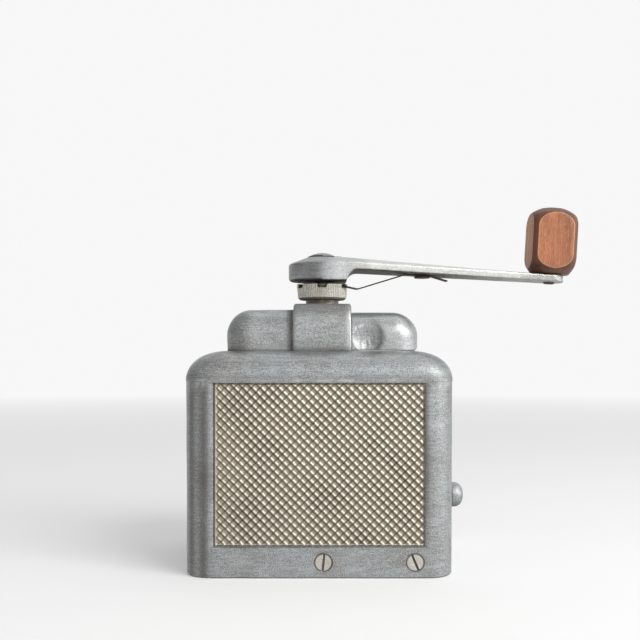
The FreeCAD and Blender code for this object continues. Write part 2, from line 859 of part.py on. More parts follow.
def make_funnel():
    """Sheet funnel from the hopper mouth down to a nearly round throat."""
    body = new_body("hopper_funnel")
    throat = s.funnel_throat / 2
    for cut, skin in ((False, s.funnel_sheet), (True, 0.0)):
        mouth = new_sketch(body, "XY_Plane", ceiling)
        rounded(mouth, hopper_half_length + skin, hopper_half_depth + skin, s.hopper_mouth_corner + skin)
        foot = new_sketch(body, "XY_Plane", funnel_foot)
        rounded(foot, throat + skin, throat + skin, s.funnel_throat_corner + skin)
        loft(body, [mouth, foot], cut=cut, ruled=True)


def make_mill_frame():
    body = new_body("mill_frame")
    plate = new_sketch(body, "XY_Plane", frame_under)
    rounded(plate, s.pillar_x + s.frame_margin, pillar_y + s.frame_margin, s.frame_margin)
    pad(body, plate, s.frame_plate)
    barrel = new_sketch(body, "XY_Plane", frame_under)
    circle(barrel, barrel_radius)
    pad(body, barrel, frame_under - barrel_foot, reverse=True)
    seat = new_sketch(body, "XZ_Plane")
    bore = s.ring_radius + s.running_gap
    throat = s.ring_radius - s.barrel_ledge
    below = barrel_foot - s.cut_over
    above = funnel_foot + s.cut_over
    outline(seat, [
        (0.0, below), (throat, below), (throat, ring_foot), (bore, ring_foot), (bore, above), (0.0, above)
    ])
    spin(body, seat, "Groove")
    holes = new_sketch(body, "XY_Plane", frame_under)
    places = []
    for side, face in corners_of_four:
        x = s.pillar_x * side
        y = pillar_y * face
        circle(holes, s.machine_screw_radius + s.running_gap, x, y)
        places.append((x, y, s.second_slot_angle * face))
    pocket(body, holes, s.frame_plate, reverse=True)
    for x, y, _ in places:
        countersink(body, s.machine_screw_radius, x, y, frame_under)
    tapped = new_sketch(body, "XY_Plane", barrel_foot)
    circle(tapped, s.small_screw_radius, bearing_screw_x)
    circle(tapped, s.small_screw_radius, 0 - bearing_screw_x)
    pocket(body, tapped, s.bearing_tap, reverse=True)
    reach = s.frame_plate + s.funnel_tall - s.tap_margin * 2
    screws = countersunk_screws("mill_frame_screws", s.machine_screw_radius, reach, places)
    put(screws, (0.0, 0.0, frame_under), (1, 0, 0), 180.0)


def cone_radius(level, gap=0.0):
    """Radius of the grinding cone at a height, less the gap between the burrs."""
    return s.cone_top_radius - gap + (ring_top - level) * cone_slope


def tooth_sections(body, low, high, gap, outward):
    """Two V sections of a slanting groove between teeth, one at each end of the cone."""
    sections = []
    for level, turn in ((high, 0.0), (low, s.tooth_twist_angle * outward)):
        radius = cone_radius(level, gap)
        deep = radius + s.tooth_depth * outward
        clear = radius - s.tooth_depth * outward
        sketch = new_sketch(body, "XY_Plane", level, turn)
        outline(sketch, [(deep, 0.0), (clear, s.tooth_width), (clear, 0 - s.tooth_width)])
        sections.append(sketch)
    return sections


def make_outer_burr():
    body = new_body("outer_burr")
    profile = new_sketch(body, "XZ_Plane")
    outline(profile, [
        (s.cone_bottom_radius, ring_foot), (s.ring_radius, ring_foot), (s.ring_radius, ring_top),
        (s.cone_top_radius, ring_top),
    ])
    spin(body, profile)
    groove = loft(body, tooth_sections(body, ring_foot, ring_top, 0.0, 1), cut=True, ruled=True)
    around(body, groove, s.burr_teeth)


def make_inner_burr():
    body = new_body("inner_burr")
    low = ring_foot - s.burr_under
    neck = cone_radius(burr_top, s.burr_gap)
    bore = s.spindle_radius + s.running_gap
    profile = new_sketch(body, "XZ_Plane")
    outline(profile, [
        (bore, low), (cone_radius(low, s.burr_gap), low), (neck, burr_top),
        (neck, burr_top + s.burr_neck), (bore, burr_top + s.burr_neck),
    ])
    spin(body, profile)
    groove = loft(body, tooth_sections(body, low, burr_top, s.burr_gap, -1), cut=True, ruled=True)
    around(body, groove, s.burr_teeth)
    cross_hole(body, burr_pin_level)


def cross_hole(body, level):
    """Hole along X for a cross pin."""
    hole = new_sketch(body, "YZ_Plane")
    circle(hole, s.cross_pin_radius, 0.0, level)
    pocket(body, hole, s.cross_pin_length + s.cut_over, symmetric=True)


def make_cross_pin(name, level):
    body = new_body(name)
    section = new_sketch(body, "YZ_Plane")
    circle(section, s.cross_pin_radius, 0.0, level)
    pad(body, section, s.cross_pin_length, symmetric=True)


def make_lower_bearing():
    body = new_body("lower_bearing")
    bar = new_sketch(body, "XY_Plane", bearing_foot)
    rounded(bar, barrel_radius, s.bearing_bar_width / 2, s.bearing_bar_width / 3)
    pad(body, bar, s.bearing_bar_thickness)
    hub = new_sketch(body, "XY_Plane", bearing_foot)
    circle(hub, s.bearing_hub_radius)
    pad(body, hub, s.bearing_bar_thickness)
    holes = new_sketch(body, "XY_Plane", bearing_foot)
    circle(holes, s.spindle_radius + s.running_gap)
    circle(holes, s.small_screw_radius + s.running_gap, bearing_screw_x)
    circle(holes, s.small_screw_radius + s.running_gap, 0 - bearing_screw_x)
    pocket(body, holes, s.bearing_bar_thickness, reverse=True)
    cheese_head_screws(
        "lower_bearing_screws", bearing_foot, s.bearing_bar_thickness + s.bearing_tap - s.tap_margin,
        [(bearing_screw_x, 0.0), (0 - bearing_screw_x, 0.0)], s.small_screw_radius,
    )


def cheese_head_screws(name, level, length, places, radius):
    """Screws driven upwards at places (x, y), their round heads under a level."""
    body = new_body(name)
    head_tall = radius * s.screw_head_tall_share
    heads = new_sketch(body, "XY_Plane", level)
    shanks = new_sketch(body, "XY_Plane", level - head_tall / 2)
    for x, y in places:
        circle(heads, radius * s.screw_head_share, x, y)
        circle(shanks, radius, x, y)
    pad(body, heads, head_tall, reverse=True)
    pad(body, shanks, length + head_tall / 2)


# Hood: bridge, fixed cover and hinged lid


def make_bridge():
    body = new_body("bridge")
    profile = new_sketch(body, "YZ_Plane")
    outer = bridge_half_depth
    inner = bridge_half_depth - s.bridge_leg
    throat = s.bridge_throat
    outline(profile, [
        (outer, s.body_height),
        (outer, bridge_top - s.bridge_edge),
        (outer - s.bridge_edge, bridge_top, s.bridge_edge),
        (s.bridge_edge - outer, bridge_top),
        (0 - outer, bridge_top - s.bridge_edge, s.bridge_edge),
        (0 - outer, s.body_height),
        (0 - inner, s.body_height),
        (0 - inner, bridge_under - throat),
        (throat - inner, bridge_under, 0 - throat),
        (inner - throat, bridge_under),
        (inner, bridge_under - throat, 0 - throat),
        (inner, s.body_height),
    ])
    pad(body, profile, s.bridge_width, symmetric=True)
    fillet(body, s.bridge_side_edge, bridge_rim)
    bore = new_sketch(body, "XY_Plane", bridge_top)
    circle(bore, s.bush_radius)
    pocket(body, bore, s.bridge_crown + s.cut_over)
    feet = new_sketch(body, "XY_Plane", s.body_height)
    circle(feet, s.machine_screw_radius, 0.0, leg_middle)
    circle(feet, s.machine_screw_radius, 0.0, 0 - leg_middle)
    pocket(body, feet, s.bridge_tap, reverse=True)
    cheese_head_screws(
        "bridge_screws", ceiling, s.wall + s.bridge_tap - s.tap_margin,
        [(0.0, leg_middle), (0.0, 0 - leg_middle)], s.machine_screw_radius,
    )
    flange = s.bush_radius + s.bush_flange
    bush_bore = s.spindle_radius + s.running_gap
    turned("bridge_bush", [
        (bush_bore, spring_top), (flange, spring_top), (flange, bridge_under), (s.bush_radius, bridge_under),
        (s.bush_radius, bridge_top), (bush_bore, bridge_top),
    ])


def bridge_rim(edge):
    """Edges of the bridge's two side faces along the outside of the arch."""
    box = edge.BoundBox
    on_side = close(abs(box.XMin), bridge_half) and close(box.XMin, box.XMax)
    outside = close(max(abs(box.YMin), abs(box.YMax)), bridge_half_depth) or close(box.ZMin, bridge_top)
    return on_side and outside and not close(box.ZMax, s.body_height)


def hood_shell(name, near, far, foot, tall):
    """Half of the hood: a block rounded at its far end, hollow, open below and towards the bridge."""
    body = new_body(name)
    plan = new_sketch(body, "XY_Plane", foot)
    block(plan, min(near, far), 0 - hood_half_depth, max(near, far), hood_half_depth)
    pad(body, plan, tall)
    top = foot + tall

    def rim(edge):
        box = edge.BoundBox
        at_far_end = close(box.XMin, far) and close(box.XMax, far)
        at_top = close(box.ZMin, top)
        upright = not close(box.ZMin, box.ZMax)
        lengthwise = not close(box.XMin, box.XMax)
        return (at_far_end and (upright or at_top)) or (at_top and lengthwise)

    fillet(body, s.hood_corner, rim)
    shell = body.newObject("PartDesign::Thickness", name + "_hollow")
    solid = shell.BaseFeature
    opened = []
    for number, face in enumerate(solid.Shape.Faces):
        middle = face.CenterOfMass
        if close(middle.z, foot) or close(middle.x, near):
            opened.append(f"Face{number + 1}")
    shell.Base = (solid, opened)
    bind(shell, "Value", s.hood_wall)
    shell.Reversed = True
    settle(shell)
    if shell.Shape.Volume > solid.Shape.Volume:
        raise RuntimeError(f"{name} grew outwards")
    return body


def make_left_cover():
    body = hood_shell("left_cover", 0 - bridge_half, 0 - hood_half, s.body_height, s.left_cover_tall)
    bosses = new_sketch(body, "XY_Plane", s.body_height)
    tapped = new_sketch(body, "XY_Plane", s.body_height)
    reach = s.small_screw_radius + s.cover_boss_wall
    for face in both_ways:
        y = cover_screw_y * face
        block(bosses, cover_screw_x - reach, y - reach, cover_screw_x + reach, y + reach)
        circle(tapped, s.small_screw_radius, cover_screw_x, y)
    pad(body, bosses, s.cover_boss_tall)
    pocket(body, tapped, s.cover_boss_tall - s.tap_margin, reverse=True)
    cheese_head_screws(
        "cover_screws", ceiling, s.wall + s.cover_boss_tall - s.tap_margin * 2,
        [(cover_screw_x, cover_screw_y), (cover_screw_x, 0 - cover_screw_y)], s.small_screw_radius,
    )


def make_lid():
    foot = s.body_height + s.hood_seam
    body = hood_shell("hopper_lid", shell_inner_x, hood_half, foot, s.lid_tall - s.hood_seam)
    # barrel of the hinge along the end wall, cut back for the lug in the middle
    barrel = new_sketch(body, "XZ_Plane")
    circle(barrel, s.hinge_knuckle - s.seat_gap, hinge_x, hinge_level)
    pad(body, barrel, s.hinge_barrel_length, symmetric=True)
    room = s.hinge_knuckle + s.moving_gap
    gap = new_sketch(body, "XZ_Plane")
    below = foot - s.cut_over
    outline(gap, [
        (hinge_x - room, below),
        (hood_half + s.cut_over, below),
        (hood_half + s.cut_over, hinge_level + room),
        (hinge_x, hinge_level + room),
        (hinge_x - room, hinge_level, room),
    ])
    pocket(body, gap, s.hinge_lug_length + s.moving_gap * 2, symmetric=True)
    # round relief under the end, so that the lid can tip over
    relief = new_sketch(body, "XZ_Plane")
    outline(relief, [
        (hinge_x, below),
        (hood_half + s.cut_over, below),
        (hood_half + s.cut_over, hinge_level),
        (hinge_x + s.hinge_knuckle, hinge_level),
        (hinge_x, hinge_level - s.hinge_knuckle, 0 - s.hinge_knuckle),
    ])
    pocket(body, relief, hood_half_depth * 2 + s.cut_over, symmetric=True)
    bore = new_sketch(body, "XZ_Plane")
    circle(bore, s.hinge_pin_radius + s.running_gap, hinge_x, hinge_level)
    pocket(body, bore, s.hinge_pin_length + s.moving_gap * 2, symmetric=True)
    # thumb scallops beside the bridge, front and back
    for face in both_ways:
        scoop = new_sketch(
            body, "XZ_Plane", (hood_half_depth - s.scallop_sink + s.scallop_radius) * -face,
            shift=(bridge_half + s.scallop_from_bridge, 0.0),
        )
        ball = s.scallop_radius
        ball_top = s.body_height + s.scallop_top
        outline(scoop, [(0.0, below), (ball, below), (ball, ball_top - ball), (0.0, ball_top, ball)])
        spin(body, scoop, "Groove")


def make_hinge_pin():
    body = new_body("hinge_pin")
    section = new_sketch(body, "XZ_Plane")
    circle(section, s.hinge_pin_radius, hinge_x, hinge_level)
    pad(body, section, s.hinge_pin_length, symmetric=True)


# Drawer


def make_drawer_front():
    """Thick front, flush with the cast side, drilled for the knob's screw and blind for the rivets."""
    body = new_body("drawer_front")
    face = new_sketch(body, "YZ_Plane", drawer_face_x)
    rounded(
        face, drawer_half, s.drawer_front_tall / 2, s.drawer_corner - s.drawer_mouth_gap, 0.0, drawer_middle
    )
    pad(body, face, s.drawer_front_thickness, reverse=True)
    screw = new_sketch(body, "YZ_Plane", drawer_face_x)
    circle(screw, s.machine_screw_radius, 0.0, drawer_middle)
    pocket(body, screw, s.drawer_front_thickness)
    blind = new_sketch(body, "YZ_Plane", drawer_back_x)
    for y, z in drawer_rivet_places():
        circle(blind, s.rivet_radius, y, z)
    pocket(body, blind, s.rivet_reach, reverse=True)


def drawer_rivet_places():
    low = s.drawer_floor_level + s.rivet_edge
    high = s.drawer_floor_level + s.drawer_side_tall - s.rivet_edge
    return [(s.rivet_side * side, level) for side in both_ways for level in (low, high)]


def lies_at(edge, level):
    """Tells whether an edge is level at that height."""
    return close(edge.BoundBox.ZMin, level) and close(edge.BoundBox.ZMax, level)


def make_drawer_tray():
    """Open sheet box behind the front, its lower edges folded round."""
    body = new_body("drawer_tray")
    tray_middle = drawer_back_x - s.drawer_length / 2
    for skin, level in ((0.0, s.drawer_floor_level), (s.drawer_sheet, s.drawer_floor_level + s.drawer_sheet)):
        plan = new_sketch(body, "XY_Plane", level)
        side = drawer_half - s.tray_side_gap - skin
        rounded(plan, s.drawer_length / 2 - skin, side, s.drawer_corner - skin, tray_middle)
        if level > s.drawer_floor_level:
            pocket(body, plan, s.drawer_side_tall, reverse=True)
        else:
            pad(body, plan, s.drawer_side_tall)
    fold = s.drawer_corner - s.drawer_mouth_gap
    fillet(body, fold, lambda edge: lies_at(edge, s.drawer_floor_level))
    fillet(body, fold - s.drawer_sheet, lambda edge: lies_at(edge, s.drawer_floor_level + s.drawer_sheet))
    holes = new_sketch(body, "YZ_Plane", drawer_back_x)
    circle(holes, s.machine_screw_radius, 0.0, drawer_middle)
    for y, z in drawer_rivet_places():
        circle(holes, s.rivet_radius, y, z)
    pocket(body, holes, s.drawer_sheet)


def make_drawer_rivets():
    body = new_body("drawer_rivets")
    head_seat = drawer_back_x - s.drawer_sheet
    head_tall = s.rivet_radius * s.screw_head_tall_share / 2
    heads = new_sketch(body, "YZ_Plane", head_seat)
    shanks = new_sketch(body, "YZ_Plane", head_seat)
    for y, z in drawer_rivet_places():
        circle(heads, s.rivet_radius * s.screw_head_share, y, z)
        circle(shanks, s.rivet_radius, y, z)
    pad(body, heads, head_tall, reverse=True)
    pad(body, shanks, s.rivet_reach + s.drawer_sheet)


def make_drawer_knob():
    """Turned knob on the drawer's front and the screw that holds it from inside."""
    neck = s.drawer_knob_neck
    reach = s.drawer_knob_reach
    flare = s.drawer_knob_flare
    edge = s.drawer_knob_edge
    crown = s.drawer_knob_crown
    head_foot = reach - s.drawer_knob_head
    rim = s.drawer_knob_radius
    tapped = reach - crown - s.tap_margin
    knob = turned("drawer_knob", [
        (s.machine_screw_radius, 0.0), (neck + flare, 0.0), (neck, flare), (neck, head_foot - edge),
        (rim - edge, head_foot), (rim, head_foot + edge), (rim, reach - crown), (rim - crown, reach, crown),
        (0.0, reach), (0.0, tapped), (s.machine_screw_radius, tapped),
    ])
    put(knob, (drawer_face_x, 0.0, drawer_middle), (0, 1, 0), 90.0)
    shank = s.machine_screw_radius
    head = shank * s.screw_head_share
    head_foot = 0 - shank * s.screw_head_tall_share
    length = s.drawer_sheet + s.drawer_front_thickness + tapped - s.moving_gap
    screw = turned("drawer_knob_screw", [
        (0.0, head_foot), (head - edge, head_foot), (head, head_foot + edge), (head, 0.0), (shank, 0.0),
        (shank, length), (0.0, length),
    ])
    put(screw, (drawer_back_x - s.drawer_sheet, 0.0, drawer_middle), (0, 1, 0), 90.0)


# Spindle, nut and crank


def make_spindle():
    """Round bar with a flat for the keyed washer, a square top for the crank and a tapped end."""
    rim = s.spindle_radius
    edge = s.spindle_edge
    body = turned("spindle", [
        (0.0, s.spindle_foot), (rim - edge, s.spindle_foot), (rim, s.spindle_foot + edge),
        (rim, spindle_top - edge), (rim - edge, spindle_top), (0.0, spindle_top),
    ])
    clear = rim + s.cut_over
    flat_top = nut_foot + s.cut_over
    flat = new_sketch(body, "XY_Plane", flat_top)
    block(flat, 0 - clear, s.spindle_flat, clear, clear)
    pocket(body, flat, flat_top - bridge_top + s.cut_over)
    side = new_sketch(body, "XY_Plane", spindle_top)
    block(side, s.spindle_square / 2, 0 - clear, clear, clear)
    cut = pocket(body, side, spindle_top - hub_foot)
    around(body, cut, 4.0)
    hole = new_sketch(body, "XY_Plane", spindle_top)
    circle(hole, s.crank_screw_shank)
    pocket(body, hole, s.crank_screw_length)
    cross_hole(body, burr_pin_level)
    cross_hole(body, spring_pin_level)


SPRING_SAMPLES = 480


def make_spring():
    """Coil round the spindle between the bush and a washer: arcs in pairs that share their tangents."""
    foot = spring_foot + s.spring_wire / 2 + s.running_gap
    climb = (spring_top - spring_foot - s.spring_wire - s.running_gap * 2) / s.spring_turns
    radius = float(s.spring_mean_radius)
    slope = float(climb) / (2 * math.pi)
    quarters = int(round(float(s.spring_turns) * 4))

    def station(quarter):
        angle = quarter * math.pi / 2
        point = Vector(radius * math.cos(angle), radius * math.sin(angle), float(foot) + slope * angle)
        along_wire = Vector(-radius * math.sin(angle), radius * math.cos(angle), slope).normalize()
        return point, along_wire

    edges = []
    for quarter in range(quarters):
        start, leaving = station(quarter)
        end, arriving = station(quarter + 1)
        edges += biarc(start, leaving, end, arriving)
    path = Part.Wire(edges)
    start, leaving = station(0)
    section = Part.Wire(Part.Circle(start, leaving, float(s.spring_wire) / 2).toShape())
    coil = path.makePipeShell([section], True, False)
    spring = doc.addObject("Part::Feature", "thrust_spring")
    spring.Shape = coil
    spring.Label = "thrust_spring"
    nodes.append(spring)
    print("thrust_spring: least gap between turns", round(least_gap(path), 2), "mm")


def least_gap(path):
    """Least distance between the wire's surfaces on points of the path over half a turn apart."""
    points = path.discretize(Number=SPRING_SAMPLES)
    apart = int(SPRING_SAMPLES / float(s.spring_turns) / 2)
    least = min(
        (points[i] - points[k]).Length
        for i in range(0, len(points), 2)
        for k in range(i + apart, len(points), 2)
    )
    return least - float(s.spring_wire)


def biarc(start, leaving, end, arriving):
    """Two arcs from start to end that keep both end directions and meet with a common tangent."""
    chord = end - start
    both = leaving + arriving
    a = both * both - 4.0
    b = -2.0 * (chord * both)
    c = chord * chord
    reach = (-b - math.sqrt(b * b - 4 * a * c)) / (2 * a)
    first = start + leaving * reach
    second = end - arriving * reach
    joint = (first + second) * 0.5
    return [tangent_arc(start, leaving, joint), tangent_arc(end, arriving * -1.0, joint)]


def tangent_arc(start, direction, end):
    """Arc that leaves start along a direction and reaches end."""
    chord = end - start
    across = chord - direction * (chord * direction)
    radius = (chord * chord) / (2 * across.Length)
    centre = start + across.normalize() * radius
    middle = centre + ((start + end) * 0.5 - centre).normalize() * radius
    return Part.Arc(start, middle, end).toShape()


def make_spring_seat():
    turned("spring_washer", [
        (s.spindle_radius + s.running_gap, spring_foot - s.spring_washer_thickness),
        (s.spring_washer_radius, spring_foot - s.spring_washer_thickness),
        (s.spring_washer_radius, spring_foot),
        (s.spindle_radius + s.running_gap, spring_foot),
    ])


def make_keyed_washer():
    """Collar between bridge and nut; a flat in its bore turns it with the spindle."""
    body = new_body("keyed_washer")
    plan = new_sketch(body, "XY_Plane", washer_foot)
    circle(plan, s.washer_radius)
    bore = s.spindle_radius + s.running_gap
    flat = s.spindle_flat + s.running_gap
    reach = root(bore * bore - flat * flat)
    outline(plan, [(reach, flat), (0.0, 0 - bore, 0 - bore), (0 - reach, flat, 0 - bore)])
    pad(body, plan, s.washer_tall)


def make_nut():
    rim = s.nut_radius
    foot_rim = s.nut_radius - s.nut_taper
    body = turned("adjusting_nut", [
        (s.spindle_radius + s.running_gap, nut_foot),
        (s.nut_foot_radius, nut_foot),
        (foot_rim, nut_foot + s.nut_chamfer),
        (rim, nut_top - s.nut_edge),
        (rim - s.nut_edge, nut_top),
        (s.spindle_radius + s.running_gap, nut_top),
    ])
    notch = new_sketch(body, "XZ_Plane", s.notch_root)
    half_top = s.notch_top / 2
    above = nut_top + s.cut_over
    half_bottom = s.notch_bottom / 2
    outline(notch, [
        (0 - half_bottom, nut_top - s.notch_depth), (half_bottom, nut_top - s.notch_depth),
        (half_top, nut_top), (half_top, above), (0 - half_top, above), (0 - half_top, nut_top),
    ])
    cut = pocket(body, notch, s.nut_radius, reverse=True)
    around(body, cut, s.notch_count)


def arm_half(x):
    """Half width of the arm, from the hub's width to that of the rounded end."""
    return s.hub_radius - x * (s.hub_radius - s.arm_end_radius) / s.crank_reach


ARM_STATIONS = (0.0, 0.3, 0.65, 1.0)


def arm_section(body, x, side, ridge):
    """Cross section of the arm: flat below and at the sides, crowned above."""
    half = arm_half(x)
    low = arm_underside(x)
    crown = (half * half + ridge * ridge) / (ridge * 2)
    sketch = new_sketch(body, "YZ_Plane", x)
    outline(sketch, [(0 - half, low), (half, low), (half, low + side), (0 - half, low + side, crown)])
    return sketch


def make_crank():
    body = new_body("crank_arm")
    root_side = hub_side_top - s.arm_blend - arm_underside(s.arm_root)
    root_ridge = hub_top - s.arm_blend - hub_side_top
    sections = [arm_section(body, s.arm_root, root_side, root_ridge)]
    for share in ARM_STATIONS:
        x = s.arm_shoulder + (arm_end_x - s.arm_shoulder) * share
        sections.append(arm_section(body, x, s.arm_side, arm_ridge(x)))
    loft(body, sections)
    # end rounded about the knob's pin
    end = new_sketch(body, "XY_Plane", hub_top)
    clear_x = arm_end_x + s.cut_over
    outline(end, [
        (s.crank_reach, s.arm_end_radius),
        (s.crank_reach, 0 - s.arm_end_radius, 0 - s.arm_end_radius),
        (s.crank_reach, 0 - s.hub_radius),
        (clear_x, 0 - s.hub_radius),
        (clear_x, s.hub_radius),
        (s.crank_reach, s.hub_radius),
    ])
    pocket(body, end, hub_top - hub_foot + s.arm_rise)
    # hub, and the root of the arm down to the hub's foot
    hub = new_sketch(body, "XZ_Plane")
    rim = s.hub_radius
    outline(hub, [
        (0.0, hub_foot), (rim - s.hub_edge, hub_foot), (rim, hub_foot + s.hub_edge, s.hub_edge),
        (rim, hub_side_top - s.hub_edge), (rim - s.hub_edge, hub_side_top, s.hub_edge),
        (s.crank_screw_head, hub_top), (0.0, hub_top),
    ])
    spin(body, hub)
    hollow = s.arm_underside_hollow
    hollow_x = s.arm_hollow_from + hollow
    root_end = hollow_x + s.cut_over / 2
    root_plan = new_sketch(body, "XY_Plane", hub_foot)
    outline(root_plan, [
        (0.0, 0 - arm_half(0.0)), (root_end, 0 - arm_half(root_end)), (root_end, arm_half(root_end)),
        (0.0, arm_half(0.0)),
    ])
    pad(body, root_plan, s.arm_rise)
    # hollow that lifts from the hub's foot to the arm's underside
    under = new_sketch(body, "XZ_Plane")
    clear_x = hollow_x + s.cut_over
    hollow_top = arm_underside(hollow_x)
    below = hub_foot - s.cut_over
    outline(under, [
        (s.arm_hollow_from, below),
        (clear_x, below),
        (clear_x, arm_underside(clear_x)),
        (hollow_x, hollow_top),
        (s.arm_hollow_from, hollow_top - hollow, hollow),
    ])
    pocket(body, under, s.hub_radius * 2 + s.cut_over, symmetric=True)
    square = new_sketch(body, "XY_Plane", hub_foot)
    half = s.spindle_square / 2 + s.running_gap
    block(square, 0 - half, 0 - half, half, half)
    pocket(body, square, s.hub_side + s.hub_crown + s.cut_over, reverse=True)
    # flat land under the knob and the hole of its pin, both square to the drooping arm
    land = new_sketch(body, "XZ_Plane", 0.0, 0 - s.arm_droop_angle, (s.crank_reach, knob_land_z))
    reach = s.arm_side * 2
    land_radius = s.knob_foot_radius + s.knob_land_margin
    outline(land, [
        (0.0, 0 - reach), (s.knob_pin_radius, 0 - reach), (s.knob_pin_radius, 0.0), (land_radius, 0.0),
        (land_radius, reach), (0.0, reach),
    ])
    spin(body, land, "Groove")
    rivet_hole = new_sketch(body, "XY_Plane", arm_underside(s.strip_rivet_x) + s.strip_rivet_reach)
    circle(rivet_hole, s.strip_rivet_radius, s.strip_rivet_x)
    pocket(body, rivet_hole, s.strip_rivet_reach + s.cut_over)

    head = s.crank_screw_head
    dome = s.crank_screw_dome
    bulge = (head * head + dome * dome) / (dome * 2)
    tip = spindle_top - s.crank_screw_length + s.crank_clamp_gap
    turned("crank_screw", [
        (0.0, tip), (s.crank_screw_shank, tip), (s.crank_screw_shank, hub_top), (head, hub_top),
        (0.0, hub_top + dome, bulge),
    ])


def make_lock_spring():
    """Strip under the arm that reaches into a notch of the nut, then its rivet.

    Its own frame has X from the rivet towards the nut; stations run from tip to hook.
    """
    body = new_body("lock_spring")
    base = arm_underside(s.strip_rivet_x) - s.running_gap

    def flush(x):
        return base + x * droop - s.strip_thickness

    stations = [
        (s.strip_tip, nut_top - s.notch_depth + s.running_gap * 2),
        (s.strip_knee, base - s.strip_knee_drop),
        (s.strip_lift_off, flush(s.strip_lift_off)),
        (0 - s.strip_tab, flush(0 - s.strip_tab)),
        (0 - s.strip_hook, flush(0 - s.strip_hook) - s.strip_hook_drop),
    ]
    profile = new_sketch(body, "XZ_Plane")
    under = [(0 - x, z) for x, z in stations]
    over = [(x, z + s.strip_thickness) for x, z in reversed(under)]
    outline(profile, under + over)
    pad(body, profile, s.strip_width, symmetric=True)
    hole = new_sketch(body, "XY_Plane", base + s.cut_over)
    circle(hole, s.strip_rivet_radius)
    pocket(body, hole, s.strip_thickness + s.cut_over * 2)
    put(body, (s.strip_rivet_x, 0.0, 0.0), (0, 0, 1), s.strip_turn_angle)

    shank = s.strip_rivet_radius
    head = s.strip_width / 2
    head_top = base - s.strip_thickness - head * droop - s.running_gap / 2
    rivet = turned("lock_spring_rivet", [
        (0.0, head_top - shank), (head - shank / 2, head_top - shank), (head, head_top - shank / 2),
        (head, head_top), (shank, head_top), (shank, base + s.strip_rivet_reach - s.seat_gap),
        (0.0, base + s.strip_rivet_reach - s.seat_gap),
    ])
    put(rivet, (s.strip_rivet_x, 0.0, 0.0))


def make_knob():
    """Wooden handle: a square bar with chamfered edges, common with a turned outline."""
    foot = s.knob_washer_thickness + s.knob_play
    top = foot + s.knob_tall
    bar = new_body("knob_bar", keep=False)
    section = new_sketch(bar, "XY_Plane", foot)
    half = s.knob_flats / 2
    near = half - s.knob_edge
    outline(section, [
        (near, 0 - half), (half, 0 - near), (half, near), (near, half), (0 - near, half), (0 - half, near),
        (0 - half, 0 - near), (0 - near, 0 - half),
    ])
    pad(bar, section, s.knob_tall)
    girth = s.knob_girth
    spun = turned("knob_turning", [
        (0.0, foot), (s.knob_foot_radius, foot), (girth, foot + s.knob_cone_tall),
        (girth, top - s.knob_dome_tall), (s.knob_top_radius, top, s.knob_dome_bend), (0.0, top),
    ], keep=False)
    form = boolean("Common", "knob_form", bar, spun, keep=False)
    bore = s.knob_pin_radius + s.running_gap
    sink = s.knob_pin_head + s.moving_gap
    sink_floor = top - s.knob_pin_head_tall - s.knob_pin_head_gap
    drill = turned("knob_drill", [
        (0.0, foot - s.cut_over), (bore, foot - s.cut_over), (bore, sink_floor), (sink, sink_floor),
        (sink, top + s.cut_over), (0.0, top + s.cut_over),
    ], keep=False)
    knob = boolean("Cut", "handle_knob", form, drill)
    put(knob, knob_tilt_base, (0, 1, 0), s.arm_droop_angle)

    washer = turned("knob_washer", [
        (s.knob_pin_radius, 0.0), (s.knob_washer_radius, 0.0), (s.knob_washer_radius, s.knob_washer_thickness),
        (s.knob_pin_radius, s.knob_washer_thickness),
    ])
    put(washer, knob_tilt_base, (0, 1, 0), s.arm_droop_angle)
    under = (arm_underside(s.crank_reach) - knob_land_z) * cosine(s.arm_droop_angle)
    head_foot = under - s.rivet_head_tall
    edge = s.rivet_head_edge
    head_seat = sink_floor + s.knob_play
    head_top = head_seat + s.knob_pin_head_tall
    pin = turned("knob_rivet", [
        (0.0, head_foot), (s.rivet_head_radius - edge, head_foot), (s.rivet_head_radius, head_foot + edge),
        (s.rivet_head_radius, under), (s.knob_pin_radius, under), (s.knob_pin_radius, head_seat),
        (s.knob_pin_head, head_seat), (s.knob_pin_head, head_top - edge), (s.knob_pin_head - edge, head_top),
        (0.0, head_top),
    ])
    put(pin, knob_tilt_base, (0, 1, 0), s.arm_droop_angle)


make_body_shell()
make_panel("front_panel", -1)
make_panel("rear_panel", 1)
make_base()
make_rail("front_rail", -1)
make_rail("rear_rail", 1)
make_rail_screws("front_rail_screws", -1)
make_rail_screws("rear_rail_screws", 1)
make_funnel()
make_mill_frame()
make_outer_burr()
make_lower_bearing()
make_bridge()
make_left_cover()
make_lid()
make_hinge_pin()
make_drawer_front()
make_drawer_tray()
make_drawer_rivets()
make_drawer_knob()
make_keyed_washer()
make_nut()
make_spindle()
make_inner_burr()
make_cross_pin("burr_pin", burr_pin_level)
make_spring()
make_spring_seat()
make_cross_pin("spring_pin", spring_pin_level)
make_crank()
make_lock_spring()
make_knob()

for node in nodes:
    state = node.State
    shape = node.Shape
    if "Invalid" in state or "Error" in state or shape.isNull() or not shape.isValid():
        raise RuntimeError(f"{node.Label} is not sound: {state}")

for node in nodes:
    node.Shape.exportStep(f"parts/{node.Label}.step")
    print(node.Label, "volume", round(node.Shape.Volume), "solids", len(node.Shape.Solids))
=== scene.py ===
import json
import math

import bmesh
import bpy
import numpy as np
from bpy.props import FloatProperty, FloatVectorProperty, IntProperty, PointerProperty
from bpy.types import Operator, Panel, PropertyGroup
from mathutils import Matrix, Vector


